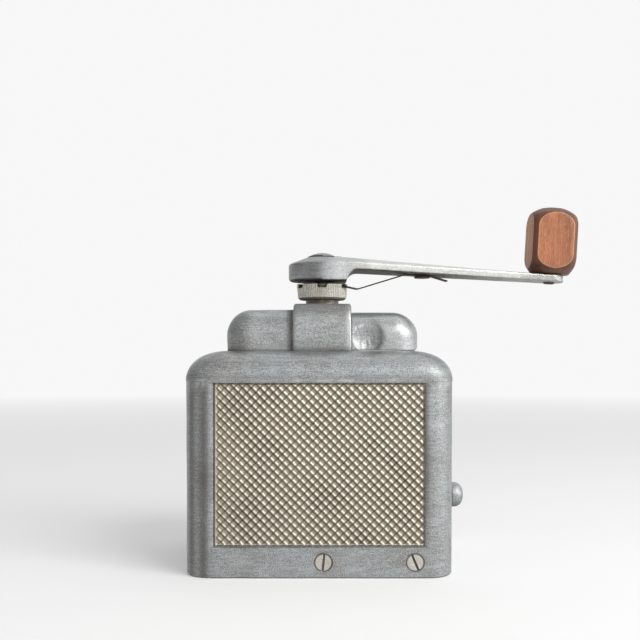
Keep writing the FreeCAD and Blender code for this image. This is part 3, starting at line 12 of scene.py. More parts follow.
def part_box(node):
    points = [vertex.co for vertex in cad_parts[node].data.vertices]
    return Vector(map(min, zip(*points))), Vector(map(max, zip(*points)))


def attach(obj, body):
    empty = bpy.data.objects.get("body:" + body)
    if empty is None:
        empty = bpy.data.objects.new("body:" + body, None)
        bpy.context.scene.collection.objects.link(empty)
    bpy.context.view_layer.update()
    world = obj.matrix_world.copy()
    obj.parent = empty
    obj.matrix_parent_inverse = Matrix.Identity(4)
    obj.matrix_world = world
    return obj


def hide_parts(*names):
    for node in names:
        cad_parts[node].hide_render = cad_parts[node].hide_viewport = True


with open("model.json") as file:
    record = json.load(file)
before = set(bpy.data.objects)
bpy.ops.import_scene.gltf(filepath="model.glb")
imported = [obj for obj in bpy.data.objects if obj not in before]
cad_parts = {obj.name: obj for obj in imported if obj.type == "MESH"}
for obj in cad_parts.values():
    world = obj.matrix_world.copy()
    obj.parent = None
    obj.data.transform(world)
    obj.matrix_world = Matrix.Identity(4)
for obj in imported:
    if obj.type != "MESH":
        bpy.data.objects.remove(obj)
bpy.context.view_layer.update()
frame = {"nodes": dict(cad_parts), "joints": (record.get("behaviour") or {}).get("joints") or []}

bl_info = {
    "name": "Coffee mill",
    "version": (1, 0, 0),
    "blender": (4, 5, 0),
    "location": "View3D > Sidebar > Mill",
    "description": "Outer surfaces and finishes of a hand-cranked coffee mill",
    "category": "Add Mesh",
}

MM = 0.001


def extent(node_name):
    """Lowest and highest corner of a CAD node, in millimetres."""
    low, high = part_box(node_name)
    return np.array(low) / MM, np.array(high) / MM


# Places that several pieces share, in millimetres, read from the CAD nodes

SHELL_LOW, SHELL_HIGH = extent("body_shell")
BRIDGE_LOW, BRIDGE_HIGH = extent("bridge")
COVER_LOW, COVER_HIGH = extent("left_cover")
LID_LOW, LID_HIGH = extent("hopper_lid")
FRONT_LOW, FRONT_HIGH = extent("drawer_front")
TRAY_LOW, TRAY_HIGH = extent("drawer_tray")
NUT_LOW, NUT_HIGH = extent("adjusting_nut")
ARM_LOW, ARM_HIGH = extent("crank_arm")
JOINTS = {joint["name"]: joint for joint in frame["joints"]}
KNOB_JOINT = JOINTS["knob_spin"]
HINGE_X, _, HINGE_Z = (value / MM for value in JOINTS["lid_hinge"]["pos_m"])
PANEL_LOW, PANEL_HIGH = extent("front_panel")
BOX_TOP = BRIDGE_LOW[2]
BOX_MIDDLE = (SHELL_LOW[0] + SHELL_HIGH[0]) / 2
SCREWS_LOW, SCREWS_HIGH = extent("front_rail_screws")

# Measures that several pieces share, in millimetres

SCREW_HEAD, SCREW_LEVEL = 3.7, 6.5  # rail screws: radius of the head, height of the axis
SCREW_PLACES = SCREWS_LOW[0] + SCREW_HEAD, SCREWS_HIGH[0] - SCREW_HEAD  # their axes along X
SCALLOP_X, SCALLOP_Z = BRIDGE_HIGH[0] + 6.7, 98.0  # middle of the lid's thumb scallops
HUB_FOOT = NUT_HIGH[2] + 1.1  # the crank's hub stands clear of the nut
ARM_SLOPE = math.tan(math.radians(3.3))  # the crank's arm drops outwards
BEND_X, BEND = 15.8, 5.0  # the arm's underside comes down to the hub's foot in a quarter circle
NOTCH_DEEP = 1.8  # notches of the nut, which the lock spring reaches into

WHITE = (0.93, 0.935, 0.93, 1.0)  # colour of the surroundings


def arm_under(x):
    """Height of the crank arm's underside: it starts 5.7 over the hub's foot and drops outwards."""
    return HUB_FOOT + 5.7 - x * ARM_SLOPE


# Sizes and colours that a user would change


def length(name, text, value, largest=200.0):
    """A length in millimetres."""
    return FloatProperty(name=name, description=text, default=value, min=0.0, max=largest, precision=2)


def colour(name, text, red, green, blue):
    """A colour from its 0 to 255 screen values."""
    screen = np.array((red, green, blue)) / 255
    light = np.where(screen <= 0.04045, screen / 12.92, ((screen + 0.055) / 1.055) ** 2.4)
    return FloatVectorProperty(
        name=name, description=text, default=light.tolist(), size=3, min=0.0, max=1.0, subtype="COLOR"
    )


class MillSizes(PropertyGroup):
    shoulder: length("Shoulder", "Radius of the box's rolled upper edge, mm", 12.5)
    corner: length("Corner", "Radius of the box's upright edges, mm", 11.0)
    hood_corner: length("Hood corner", "Radius of the hood's far and upper edges, mm", 10.6)
    hood_wall: length("Hood wall", "Wall of the hood, mm", 3.4)
    ridge_tall: length("Ridge height", "Height of the panels' ridges, mm", 0.5)
    ridge_wide: length("Ridge width", "Half width of the panels' ridges near their foot, mm", 0.55)
    knurl: IntProperty(name="Knurl", description="Teeth of the nut's knurl", default=77, min=12, max=200)
    knurl_deep: length("Knurl depth", "Depth of the nut's knurl, mm", 0.16)
    cast_wave: length("Cast wave", "Unevenness of the cast surfaces, mm", 0.07)
    crank_voxel: length("Crank blend", "Step of the blend between the crank's hub and arm, mm", 0.36)


class MillColours(PropertyGroup):
    cast: colour("Cast metal", "Tumbled cast metal of the box and hood", 156, 159, 161)
    # the cast stain colour also serves as painted shade on the box and hood where their masks put it
    cast_stain_and_shade: colour("Cast stain", "Grey-brown stain in the cast metal", 80, 75, 68)
    crank: colour("Crank arm", "Bright metal of the crank's arm", 226, 227, 224)
    hub: colour("Crank hub", "Greyer metal of the crank's hub", 150, 153, 157)
    # this brown also serves as painted shade under the crank and in the screws' slots
    crank_film_and_shade: colour("Crank film", "Brown film under the crank", 52, 39, 27)
    panel: colour("Panel", "Warm metal of the ridged panels", 178, 168, 152)
    # this brown also serves as the panels' painted shade in the lee of the ridges
    panel_dirt_and_shade: colour("Panel dirt", "Brown dirt between the ridges", 66, 55, 43)
    nut: colour("Nut", "Aged plating of the adjusting nut", 216, 211, 197)
    # this brown also serves as painted shade in the nut's notches and below the nut
    nut_dirt_and_shade: colour("Nut dirt", "Brown film in the knurl", 66, 54, 38)
    # painted shade: this dark brown stands in for the shade under the nut
    shaded_collar: colour("Collar", "Browned steel of the collar under the nut", 112, 103, 86)
    screw: colour("Screws", "Bright screws", 216, 212, 204)
    steel: colour("Steel", "Dark spring steel", 44, 38, 33)
    iron: colour("Cast iron", "Cast iron of the mill frame", 92, 92, 94)
    bronze: colour("Bronze", "Bearing bronze", 176, 138, 88)
    wood_light: colour("Light wood", "Light grain of the handle", 204, 127, 83)
    wood_turned: colour("Turned wood", "Wood of the handle's turned surfaces", 120, 70, 48)
    wood_dark: colour("Dark wood", "Dark grain of the handle", 84, 50, 36)
    floor: colour("Floor", "Pale floor", 240, 240, 240)


# Surfaces


def bell(value, middle, width):
    """1 at the middle and exp(-((value - middle) / width)^2) beside it."""
    return np.exp(-(((value - middle) / width) ** 2))


def ramp(value, start, end):
    """0 at the start, 1 at the end, straight between them and level beyond."""
    return np.clip((value - start) / (end - start), 0, 1)


def from_screws(points):
    """Distance of each point from the nearer rail screw's axis."""
    return np.min([np.hypot(points[:, 0] - x, points[:, 2] - SCREW_LEVEL) for x in SCREW_PLACES], axis=0)


def profile(corners, steps=7, closed=False):
    """Polyline through corners (a, b) or (a, b, radius).

    At a corner with a radius r the two sides are joined by an arc tangent to both: it starts
    r / tan(half the angle) from the corner and its centre lies r / sin(half the angle) along the
    bisector. A corner without one keeps its point.
    """
    points = np.array([corner[:2] for corner in corners], float)
    radii = np.array([corner[2] if len(corner) > 2 else 0.0 for corner in corners])
    if not closed:
        radii[[0, -1]] = 0.0
    back = np.roll(points, 1, 0) - points
    ahead = np.roll(points, -1, 0) - points
    back /= np.maximum(np.linalg.norm(back, axis=1, keepdims=True), 1e-9)
    ahead /= np.maximum(np.linalg.norm(ahead, axis=1, keepdims=True), 1e-9)
    half = np.arccos(np.clip((back * ahead).sum(1), -1, 1)) / 2
    half = np.where(radii > 0, half, math.pi / 4)
    bisector = back + ahead
    bisector /= np.maximum(np.linalg.norm(bisector, axis=1, keepdims=True), 1e-9)
    centre = points + bisector * (radii / np.sin(half))[:, None]
    start = points + back * (radii / np.tan(half))[:, None] - centre
    end = points + ahead * (radii / np.tan(half))[:, None] - centre
    first = np.arctan2(start[:, 1], start[:, 0])
    sweep = np.arctan2(end[:, 1], end[:, 0]) - first
    sweep = (sweep + math.pi) % (2 * math.pi) - math.pi
    angle = first[:, None] + sweep[:, None] * np.linspace(0, 1, steps)
    arc = np.stack([np.cos(angle), np.sin(angle)], -1) * radii[:, None, None]
    path = (centre[:, None] + arc).reshape(-1, 2)
    keep = np.linalg.norm(path - np.roll(path, 1, 0), axis=1) > 1e-6
    keep[0] = True
    return path[keep]


def refine(path, longest, closed=False):
    """Splits each segment of a polyline into equal parts no longer than a length."""
    ends = np.roll(path, -1, 0) if closed else path[1:]
    starts = path if closed else path[:-1]
    parts = np.maximum(1, np.ceil(np.linalg.norm(ends - starts, axis=1) / longest)).astype(int)
    which = np.repeat(np.arange(len(parts)), parts)
    within = np.arange(parts.sum()) - np.repeat(np.cumsum(parts) - parts, parts)
    share = (within / parts[which])[:, None]
    points = starts[which] * (1 - share) + ends[which] * share
    return points if closed else np.concatenate([points, path[-1:]])


def plan(half_x, half_y, radius, across=20, along=30, bend=10, half_loop=False):
    """Rows of rounded rectangles: four quarter circles about the corners' centres, joined by straights.

    half_x, half_y and radius hold one number for each row; across, along and bend are the parts of the
    straights beside the ends, of the long straights and of a corner. Half a loop runs from
    (0, -half_y) round the +X end to (0, half_y).
    """
    half_x, half_y, radius = (np.asarray(item, float)[:, None] for item in (half_x, half_y, radius))
    pieces = []
    signs = ((1, -1), (1, 1)) if half_loop else ((1, -1), (1, 1), (-1, 1), (-1, -1))
    counts = (along, across, along) if half_loop else (across, along, across, along)
    for number, (side, face) in enumerate(signs):
        angle = np.radians(np.linspace(-90, 0, bend)) + math.pi / 2 * number
        x = side * (half_x - radius) + radius * np.cos(angle)
        y = face * (half_y - radius) + radius * np.sin(angle)
        pieces.append(np.stack([x, y], -1))
    if half_loop:
        bottom = np.stack([half_x * 0, -half_y], -1)
        top = np.stack([half_x * 0, half_y], -1)
        pieces = [bottom, *pieces, top]
    loop = []
    for piece, following, count in zip(pieces, pieces[1:] + pieces[:1], counts):
        share = np.linspace(0, 1, count + 1)[1:-1][None, :, None]
        loop += [piece, piece[:, -1:] * (1 - share) + following[:, :1] * share]
    if half_loop:
        loop.append(pieces[-1])
    return np.concatenate(loop, 1)


def standing(rows, heights):
    """Rows of loops (x, y) lifted to their heights."""
    level = np.broadcast_to(np.asarray(heights, float)[:, None, None], rows.shape[:2] + (1,))
    return np.concatenate([rows, level], -1)


def spun(path, segments=96):
    """Surface of revolution: each point (r, z) of the path turned about Z as (r cos a, r sin a, z)."""
    angle = np.linspace(0, 2 * math.pi, segments, endpoint=False)
    radius, height = path[:, 0, None], path[:, 1, None]
    level = np.broadcast_to(height, (len(path), segments))
    return np.stack([radius * np.cos(angle), radius * np.sin(angle), level], -1)


def lattice(points, wrap_rows=False, wrap_columns=True):
    """Quads between neighbours of a grid (rows, columns, 3); a wrapped side joins its end to its start."""
    index = np.arange(points.shape[0] * points.shape[1]).reshape(points.shape[:2])
    if wrap_rows:
        index = np.concatenate([index, index[:1]], 0)
    if wrap_columns:
        index = np.concatenate([index, index[:, :1]], 1)
    quads = np.stack([index[:-1, :-1], index[1:, :-1], index[1:, 1:], index[:-1, 1:]], -1)
    return points.reshape(-1, 3), quads.reshape(-1, 4)


def closed(points, first=True, last=True):
    """Closes a tube's ends: a row drawn together in the middle of the first row, the last or both."""
    rows = [points]
    if first:
        rows.insert(0, np.broadcast_to(points[:1].mean(1, keepdims=True), points[:1].shape))
    if last:
        rows.append(np.broadcast_to(points[-1:].mean(1, keepdims=True), points[-1:].shape))
    return np.concatenate(rows)


def beam(outline, reach, x=0.0, z=0.0):
    """An outline (x, z), set at a place, carried from y = -reach to y = reach and closed."""
    ends = [
        np.stack([outline[:, 0] + x, np.full(len(outline), y), outline[:, 1] + z], -1)
        for y in (-reach, reach)
    ]
    return lattice(closed(np.stack(ends)))


def moved(points, matrix):
    """Points carried by a 4 x 4 matrix."""
    matrix = np.array(matrix)
    return points @ matrix[:3, :3].T + matrix[:3, 3]


def mesh_of(name, surfaces, masks=None):
    """One welded mesh, in millimetres, of surfaces (points, quads), its faces turned outwards."""
    starts = np.cumsum([0] + [len(points) for points, _ in surfaces[:-1]])
    points = np.concatenate([points for points, _ in surfaces])
    quads = np.concatenate([quads + start for (_, quads), start in zip(surfaces, starts)])
    mesh = bpy.data.meshes.new(name)
    mesh.from_pydata(points.tolist(), [], quads.tolist())
    for label, values in (masks or {}).items():
        mesh.attributes.new(label, "FLOAT", "POINT").data.foreach_set("value", values)
    form = bmesh.new()
    form.from_mesh(mesh)
    bmesh.ops.remove_doubles(form, verts=form.verts, dist=1e-4)
    bmesh.ops.recalc_face_normals(form, faces=form.faces)
    form.to_mesh(mesh)
    form.free()
    return mesh


def together(name, *meshes):
    """One mesh of several."""
    joined = bmesh.new()
    for mesh in meshes:
        joined.from_mesh(mesh)
    made = bpy.data.meshes.new(name)
    joined.to_mesh(made)
    joined.free()
    return made


def with_modifier(mesh, kind, **settings):
    """The mesh after one modifier."""
    piece = bpy.data.objects.new("shaping", mesh)
    bpy.context.scene.collection.objects.link(piece)
    modifier = piece.modifiers.new("shape", kind)
    for name, value in settings.items():
        setattr(modifier, name, value)
    shaped = bpy.data.meshes.new_from_object(piece.evaluated_get(bpy.context.evaluated_depsgraph_get()))
    bpy.data.objects.remove(piece)
    return shaped


def cut(mesh, cutters):
    """The mesh less the closed surfaces of the cutters."""
    tool = bpy.data.objects.new("cutter", mesh_of("cutter", cutters))
    bpy.context.scene.collection.objects.link(tool)
    shaped = with_modifier(mesh, "BOOLEAN", object=tool, operation="DIFFERENCE", solver="EXACT")
    bpy.data.objects.remove(tool)
    return shaped


def coordinates(mesh, owner="vertices", key="co"):
    """Positions or normals of a mesh as an array of rows."""
    values = np.zeros(len(getattr(mesh, owner)) * 3, np.float32)
    getattr(mesh, owner).foreach_get(key, values)
    return values.reshape(-1, 3).astype(float)


def swell(points, size, seed):
    """Smooth unevenness about 0: twice the mean of nine sine waves, about size long, in mixed directions."""
    random = np.random.default_rng(seed)
    directions = random.normal(size=(9, 3))
    directions /= np.linalg.norm(directions, axis=1, keepdims=True)
    rates = random.uniform(0.6, 2.2, 9) * 2 * math.pi / size
    return np.sin(points @ (directions.T * rates) + random.uniform(0, 6.28, 9)).mean(1) * 2


def uneven(mesh, amount, size, seed=1):
    """Moves each vertex along its normal by a smooth unevenness."""
    points = coordinates(mesh)
    normals = coordinates(mesh, "vertex_normals", "vector")
    points += normals * (swell(points, size, seed) * amount)[:, None]
    mesh.vertices.foreach_set("co", points.astype(np.float32).ravel())


def mark_edges(mesh, painted_shade, worn_and_lit):
    """Masks of edges bright from use, of dirty hollows and of surfaces that look down, which take painted shade;
    the place functions add painted shade to the hollows' mask and painted light to the edges' mask.

    The bend at a vertex is the mean, over its edges, of the change of the normal along the edge
    divided by the edge's length: above 0 on an outer edge, below 0 in a hollow. Wear is half of it
    above 0.2 and dirt two fifths of it below -0.125.
    """
    points = coordinates(mesh)
    normals = coordinates(mesh, "vertex_normals", "vector")
    ends = np.zeros(len(mesh.edges) * 2, np.int32)
    mesh.edges.foreach_get("vertices", ends)
    first, second = ends.reshape(-1, 2).T
    along = points[second] - points[first]
    bend = ((normals[second] - normals[first]) * along).sum(1) / np.maximum((along**2).sum(1), 1e-3)
    total = np.bincount(first, bend, len(points)) + np.bincount(second, bend, len(points))
    share = np.bincount(first, None, len(points)) + np.bincount(second, None, len(points))
    bend = total / np.maximum(share, 1)
    wear, hollow = bend * 0.5 - 0.1, -bend * 0.4 - 0.05
    if worn_and_lit is not None:
        wear = np.maximum(wear, worn_and_lit(points))
    if painted_shade is not None:
        hollow = np.maximum(hollow, painted_shade(points))
    # painted shade: surfaces that look down are darkened
    under = -normals[:, 2] * 1.6 - 0.5
    for label, values in (("wear", wear), ("hollow", hollow), ("under", under)):
        mask = np.clip(values, 0, 1).astype(np.float32)
        mesh.attributes.new(label, "FLOAT", "POINT").data.foreach_set("value", mask)


def finish_piece(name, mesh, body, nodes, material, sharp=35.0, painted_shade=None, worn_and_lit=None):
    """A finished piece in metres that stands for its CAD nodes and rides on their body."""
    mark_edges(mesh, painted_shade, worn_and_lit)
    mesh.transform(Matrix.Scale(MM, 4))
    mesh.polygons.foreach_set("use_smooth", np.ones(len(mesh.polygons), bool))
    mesh.set_sharp_from_angle(angle=math.radians(sharp))
    mesh.materials.clear()
    mesh.materials.append(material)
    piece = bpy.data.objects.new(name, mesh)
    bpy.context.scene.collection.objects.link(piece)
    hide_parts(*nodes)
    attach(piece, body)
    return piece


# Finishes


def node(tree, kind, values=None, **settings):
    """A shader node with its settings and inputs; an input given as a socket is linked."""
    made = tree.nodes.new("ShaderNode" + kind)
    for name, value in settings.items():
        setattr(made, name, value)
    for name, value in (values or {}).items():
        if isinstance(value, bpy.types.NodeSocket):
            tree.links.new(value, made.inputs[name])
        else:
            made.inputs[name].default_value = value
    return made


def maths(tree, operation, first, second=0.0, clamp=False):
    """One operation on two values, kept within 0 to 1 if clamped."""
    return node(tree, "Math", {0: first, 1: second}, operation=operation, use_clamp=clamp).outputs[0]


def times(tree, first, second, clamp=False):
    return maths(tree, "MULTIPLY", first, second, clamp)


def plus(tree, first, second):
    return maths(tree, "ADD", first, second)


def stretched(tree, place, rates):
    """A place whose axes are scaled one by one, so that a noise on it is drawn out along the small ones."""
    return node(tree, "VectorMath", {0: place, 1: rates}, operation="MULTIPLY").outputs[0]


def remap(tree, value, low, high, to_low=0.0, to_high=1.0):
    """A value carried in a straight line from one range to another, and held at its ends."""
    limits = {"Value": value, "From Min": low, "From Max": high, "To Min": to_low, "To Max": to_high}
    return node(tree, "MapRange", limits).outputs[0]


def mixed(tree, share, first, second, blend="MIX"):
    """Colour between two, by a share."""
    return node(tree, "Mix", {0: share, 6: first, 7: second}, data_type="RGBA", blend_type=blend).outputs[2]


def noise(tree, place, scale, detail=3.0, rough=0.6):
    """Cloudy noise about 0.5, with a given number of waves to a millimetre."""
    values = {"Vector": place, "Scale": scale, "Detail": detail, "Roughness": rough}
    return node(tree, "TexNoise", values).outputs["Fac"]


def mask(tree, label):
    """A mask that the mesh holds for its vertices."""
    return node(tree, "Attribute", attribute_name=label, attribute_type="GEOMETRY").outputs["Fac"]


def effect(name, inputs, outputs, build):
    """A shared node group, built once: build gives the sources of the outputs from the inputs."""
    if name in bpy.data.node_groups:
        return bpy.data.node_groups[name]
    tree = bpy.data.node_groups.new(name, "ShaderNodeTree")
    for label, kind in inputs:
        tree.interface.new_socket(label, in_out="INPUT", socket_type="NodeSocket" + kind)
    for label, kind in outputs:
        tree.interface.new_socket(label, in_out="OUTPUT", socket_type="NodeSocket" + kind)
    start = tree.nodes.new("NodeGroupInput")
    end = tree.nodes.new("NodeGroupOutput")
    for (label, _), source in zip(outputs, build(tree, start.outputs)):
        tree.links.new(source, end.inputs[label])
    return tree


def worn_metal_nodes(tree, given):
    """Fine grain, level streaks and clouds; pits and bright specks as painted glints; edges made bright by use
    and by painted light; hollows stained, with painted shade in them and on undersides.
    """
    place = given["Position"]
    fine = noise(tree, place, given["Grain"])
    streak = noise(tree, stretched(tree, place, (0.16, 0.16, 1.5)), 1.0, 4.0, 0.65)
    cloud = noise(tree, place, given["Cloud"], 5.0)
    blotch = noise(tree, place, times(tree, given["Cloud"], 0.3), 3.0)
    tone = plus(tree, times(tree, fine, 0.66), times(tree, streak, 0.22))
    tone = plus(tree, tone, times(tree, cloud, 0.12))
    warm = mixed(tree, 1.0, given["Colour"], (1.0, 0.97, 0.92, 1.0), "MULTIPLY")
    cool = mixed(tree, 1.0, given["Colour"], (0.92, 0.965, 1.0, 1.0), "MULTIPLY")
    plain = mixed(tree, remap(tree, blotch, 0.42, 0.58), cool, warm)
    dull = mixed(tree, remap(tree, given["Patchy"], 0.0, 1.0, 0.1, 0.66), warm, given["Stain"])
    light = mixed(tree, times(tree, given["Bright"], 0.26), plain, (0.93, 0.975, 1.0, 1.0))
    toned = mixed(tree, remap(tree, tone, 0.43, 0.57), dull, light)
    stained = times(tree, remap(tree, blotch, 0.5, 0.68), given["Patchy"])
    toned = mixed(tree, times(tree, stained, 0.6), toned, given["Stain"])
    cells = node(tree, "TexVoronoi", {"Vector": place, "Scale": 1.1}).outputs["Distance"]
    pit = times(tree, remap(tree, cells, 0.19, 0.09), remap(tree, cloud, 0.45, 0.58))
    # painted glints: small bright specks along the streaks
    cells = node(tree, "TexVoronoi", {"Vector": place, "Scale": 1.5}).outputs["Distance"]
    glint = times(tree, remap(tree, cells, 0.24, 0.12), remap(tree, streak, 0.47, 0.6))
    toned = mixed(tree, times(tree, pit, 0.75), toned, given["Stain"])
    glint = times(tree, glint, given["Bright"])
    toned = mixed(tree, times(tree, glint, 0.55), toned, (0.85, 0.85, 0.85, 1.0))
    wear = times(tree, mask(tree, "wear"), remap(tree, fine, 0.35, 0.6, 0.4, 1.0), clamp=True)
    # hollows: dirt from the bend, and painted shade where a piece's masks put it
    hollow = times(tree, mask(tree, "hollow"), remap(tree, cloud, 0.3, 0.6, 0.7, 1.0), clamp=True)
    # painted shade on surfaces that look down
    under = times(tree, mask(tree, "under"), given["Film"], clamp=True)
    hollow = maths(tree, "MAXIMUM", hollow, under)
    rubbed_and_lit = mixed(tree, times(tree, given["Bright"], 0.6), given["Colour"], (1.0, 1.0, 1.0, 1.0))
    toned = mixed(tree, times(tree, wear, 0.7), toned, rubbed_and_lit)
    toned = mixed(tree, times(tree, hollow, 0.95), toned, given["Stain"])
    rough = plus(tree, given["Rough"], remap(tree, fine, 0.3, 0.7, -0.08, 0.1))
    rough = plus(tree, rough, times(tree, hollow, 0.2))
    rough = maths(tree, "SUBTRACT", rough, times(tree, wear, 0.12), clamp=True)
    height = plus(tree, times(tree, fine, 0.6), times(tree, streak, 0.2))
    bare = maths(tree, "SUBTRACT", 1.0, times(tree, hollow, 0.9))
    return toned, rough, maths(tree, "SUBTRACT", height, times(tree, pit, 0.6)), bare


def brushed_nodes(tree, given):
    """Fine lines: noise stretched by the given scale of each axis."""
    lines = noise(tree, stretched(tree, given["Position"], given["Stretch"]), 1.0, 4.0, 0.7)
    return remap(tree, lines, 0.32, 0.68), lines


def start_material(name, metallic):
    """A material's tree with its shader and the object's coordinates in millimetres."""
    made = bpy.data.materials.new(name)
    made.use_nodes = True
    tree = made.node_tree
    tree.nodes.clear()
    shader = node(tree, "BsdfPrincipled", {"Metallic": metallic})
    node(tree, "OutputMaterial", {"Surface": shader.outputs[0]})
    place = node(tree, "TexCoord").outputs["Object"]
    place = node(tree, "VectorMath", {0: place, "Scale": 1 / MM}, operation="SCALE").outputs[0]
    return made, tree, shader, place


def finish_with(tree, shader, base, rough, height, deep):
    """Feeds a shader its colour, roughness and a bump whose full height is deep millimetres."""
    bump = node(tree, "Bump", {"Height": height, "Strength": 1.0, "Distance": deep * MM})
    for name, source in (("Base Color", base), ("Roughness", rough), ("Normal", bump.outputs[0])):
        tree.links.new(source, shader.inputs[name])


def metal(
    name, base, stain, rough=0.45, grain=2.4, cloud=0.14, patchy=0.5, film_and_shade=0.7, deep=0.05, metallic=0.8,
    stretch=None, bright=1.0,
):
    """Worn metal, brushed where a stretch is given.

    grain and cloud are waves to a millimetre; patchy is the share of stain, film that of the stain colour
    laid on undersides as painted shade, bright that of metal made bright by use and by painted light, and
    deep the bump's height in millimetres.
    """
    if name in bpy.data.materials:
        return bpy.data.materials[name]
    made, tree, shader, place = start_material(name, metallic)
    worn_and_lit = effect(
        "worn_metal",
        (
            ("Position", "Vector"), ("Colour", "Color"), ("Stain", "Color"), ("Grain", "Float"),
            ("Cloud", "Float"), ("Rough", "Float"), ("Patchy", "Float"), ("Film", "Float"), ("Bright", "Float"),
        ),
        (("Colour", "Color"), ("Roughness", "Float"), ("Height", "Float"), ("Bare", "Float")),
        worn_metal_nodes,
    )
    values = {
        "Position": place, "Colour": (*base, 1.0), "Stain": (*stain, 1.0), "Grain": grain, "Cloud": cloud,
        "Rough": rough, "Patchy": patchy, "Film": film_and_shade, "Bright": bright,
    }
    done = node(tree, "Group", values, node_tree=worn_and_lit).outputs
    toned, gloss, height = done["Colour"], done["Roughness"], done["Height"]
    if stretch:
        brushed = effect(
            "brushed_lines", (("Position", "Vector"), ("Stretch", "Vector")),
            (("Line", "Float"), ("Height", "Float")), brushed_nodes,
        )
        lines = node(tree, "Group", {"Position": place, "Stretch": stretch}, node_tree=brushed).outputs
        toned = mixed(tree, times(tree, lines["Line"], 0.2), toned, (*stain, 1.0))
        gloss = plus(tree, gloss, remap(tree, lines["Line"], 0.0, 1.0, -0.06, 0.06))
        height = plus(tree, height, times(tree, lines["Height"], 1.5))
    finish_with(tree, shader, toned, gloss, height, deep)
    tree.links.new(times(tree, done["Bare"], metallic), shader.inputs["Metallic"])
    return made


def panel_metal(paint):
    """Warm metal with painted shade, in brown, in the lee of the ridges, along the second family and at the
    rim's outermost edges, and painted highlights on the slopes that face the light.
    """
    made, tree, shader, place = start_material("panel_metal", 0.75)
    fine = noise(tree, place, 1.6, 4.0)
    cloud = noise(tree, place, 0.05, 4.0)
    brown = (*paint.panel_dirt_and_shade, 1.0)
    toned = mixed(tree, remap(tree, fine, 0.35, 0.65, 0.0, 0.3), (*paint.panel, 1.0), brown)
    # painted shade: brown where the panel's shade mask lies
    dirt = times(tree, mask(tree, "grime"), remap(tree, cloud, 0.35, 0.65, 0.7, 1.0), clamp=True)
    toned = mixed(tree, dirt, toned, brown)
    toned = mixed(tree, remap(tree, cloud, 0.55, 0.75, 0.0, 0.25), toned, brown)
    # painted highlights where the panel's highlight mask lies
    shine = times(tree, mask(tree, "shine"), remap(tree, fine, 0.3, 0.5, 0.5, 1.0), clamp=True)
    toned = mixed(tree, times(tree, shine, 0.3), toned, (1.0, 0.96, 0.86, 1.0))
    rough = remap(tree, fine, 0.3, 0.7, 0.34, 0.5)
    finish_with(tree, shader, toned, rough, fine, 0.05)
    return made


def wood(paint):
    """Oiled hardwood: slow bands and short pores drawn out along the handle, dark where it was turned, and
    painted near-black shade on its undersides.
    """
    made, tree, shader, place = start_material("handle_wood", 0.0)
    bands = noise(tree, stretched(tree, place, (0.35, 0.35, 0.03)), 1.0, 5.0, 0.6)
    pores = noise(tree, stretched(tree, place, (3.0, 3.0, 0.5)), 1.0, 4.0, 0.7)
    ripple = noise(tree, place, 1.4, 3.0)
    brown, tan = (*paint.wood_dark, 1.0), (*paint.wood_light, 1.0)
    toned = mixed(tree, remap(tree, bands, 0.35, 0.65, 0.35, 1.0), brown, tan)
    toned = mixed(tree, remap(tree, pores, 0.52, 0.68, 0.0, 0.6), toned, brown)
    pale = mixed(tree, 0.35, tan, (1.0, 0.85, 0.6, 1.0))
    toned = mixed(tree, remap(tree, pores, 0.42, 0.32, 0.0, 0.5), toned, pale)
    turned = mask(tree, "turned")
    edge = times(tree, remap(tree, turned, 0.02, 0.2), remap(tree, turned, 0.5, 0.25), clamp=True)
    dark = mixed(tree, remap(tree, bands, 0.35, 0.65), brown, (*paint.wood_turned, 1.0))
    toned = mixed(tree, remap(tree, turned, 0.25, 0.6), toned, dark)
    # painted shade: the handle's undersides turn near black
    toned = mixed(tree, times(tree, mask(tree, "under"), 0.8), toned, (0.022, 0.01, 0.006, 1.0))
    toned = mixed(tree, times(tree, edge, 0.6), toned, pale)
    rough = remap(tree, pores, 0.3, 0.7, 0.42, 0.6)
    height = maths(tree, "SUBTRACT", times(tree, ripple, 0.3), pores)
    finish_with(tree, shader, toned, rough, height, 0.06)
    shader.inputs["Coat Weight"].default_value = 0.12
    shader.inputs["Coat Roughness"].default_value = 0.4
    return made


def cast_metal(paint):
    """Tumbled casting, stained in its hollows, with painted shade where a piece's masks put it."""
    return metal("cast_metal", paint.cast, paint.cast_stain_and_shade)


def crank_metal(paint):
    """Bright arm and greyer hub with lengthwise brushing, and painted shade in brown below."""
    if "crank_metal" in bpy.data.materials:
        return bpy.data.materials["crank_metal"]
    made = metal(
        "crank_metal", paint.crank, paint.crank_film_and_shade, rough=0.36, grain=2.6, cloud=0.2, patchy=0.25, deep=0.03,
        metallic=0.85, stretch=(0.12, 0.12, 4.0),
    )
    tree = made.node_tree
    groups = [item for item in tree.nodes if item.bl_idname == "ShaderNodeGroup"]
    group = next(item for item in groups if item.node_tree.name == "worn_metal")
    level = stretched(tree, group.inputs["Position"].links[0].from_socket, (1.0, 1.0, 0.0))
    far = node(tree, "VectorMath", {0: level}, operation="LENGTH").outputs["Value"]
    toned = mixed(tree, remap(tree, far, 14.0, 24.0), (*paint.hub, 1.0), (*paint.crank, 1.0))
    tree.links.new(toned, group.inputs["Colour"])
    # painted shade under the crank, strongest near the hub
    tree.links.new(remap(tree, far, 50.0, 95.0, 1.0, 0.45), group.inputs["Film"])
    tree.links.new(remap(tree, far, 84.0, 96.0, 0.25, 1.0), group.inputs["Patchy"])
    shader = next(item for item in tree.nodes if item.bl_idname == "ShaderNodeBsdfPrincipled")
    shader.inputs["Specular IOR Level"].default_value = 0.15
    return made


def screw_metal(paint):
    """Bright turned steel with brown in its hollows, and painted shade where a piece's masks put it."""
    return metal(
        "screw_metal", paint.screw, paint.crank_film_and_shade, rough=0.36, grain=3.5, patchy=0.3, metallic=0.9, deep=0.03
    )


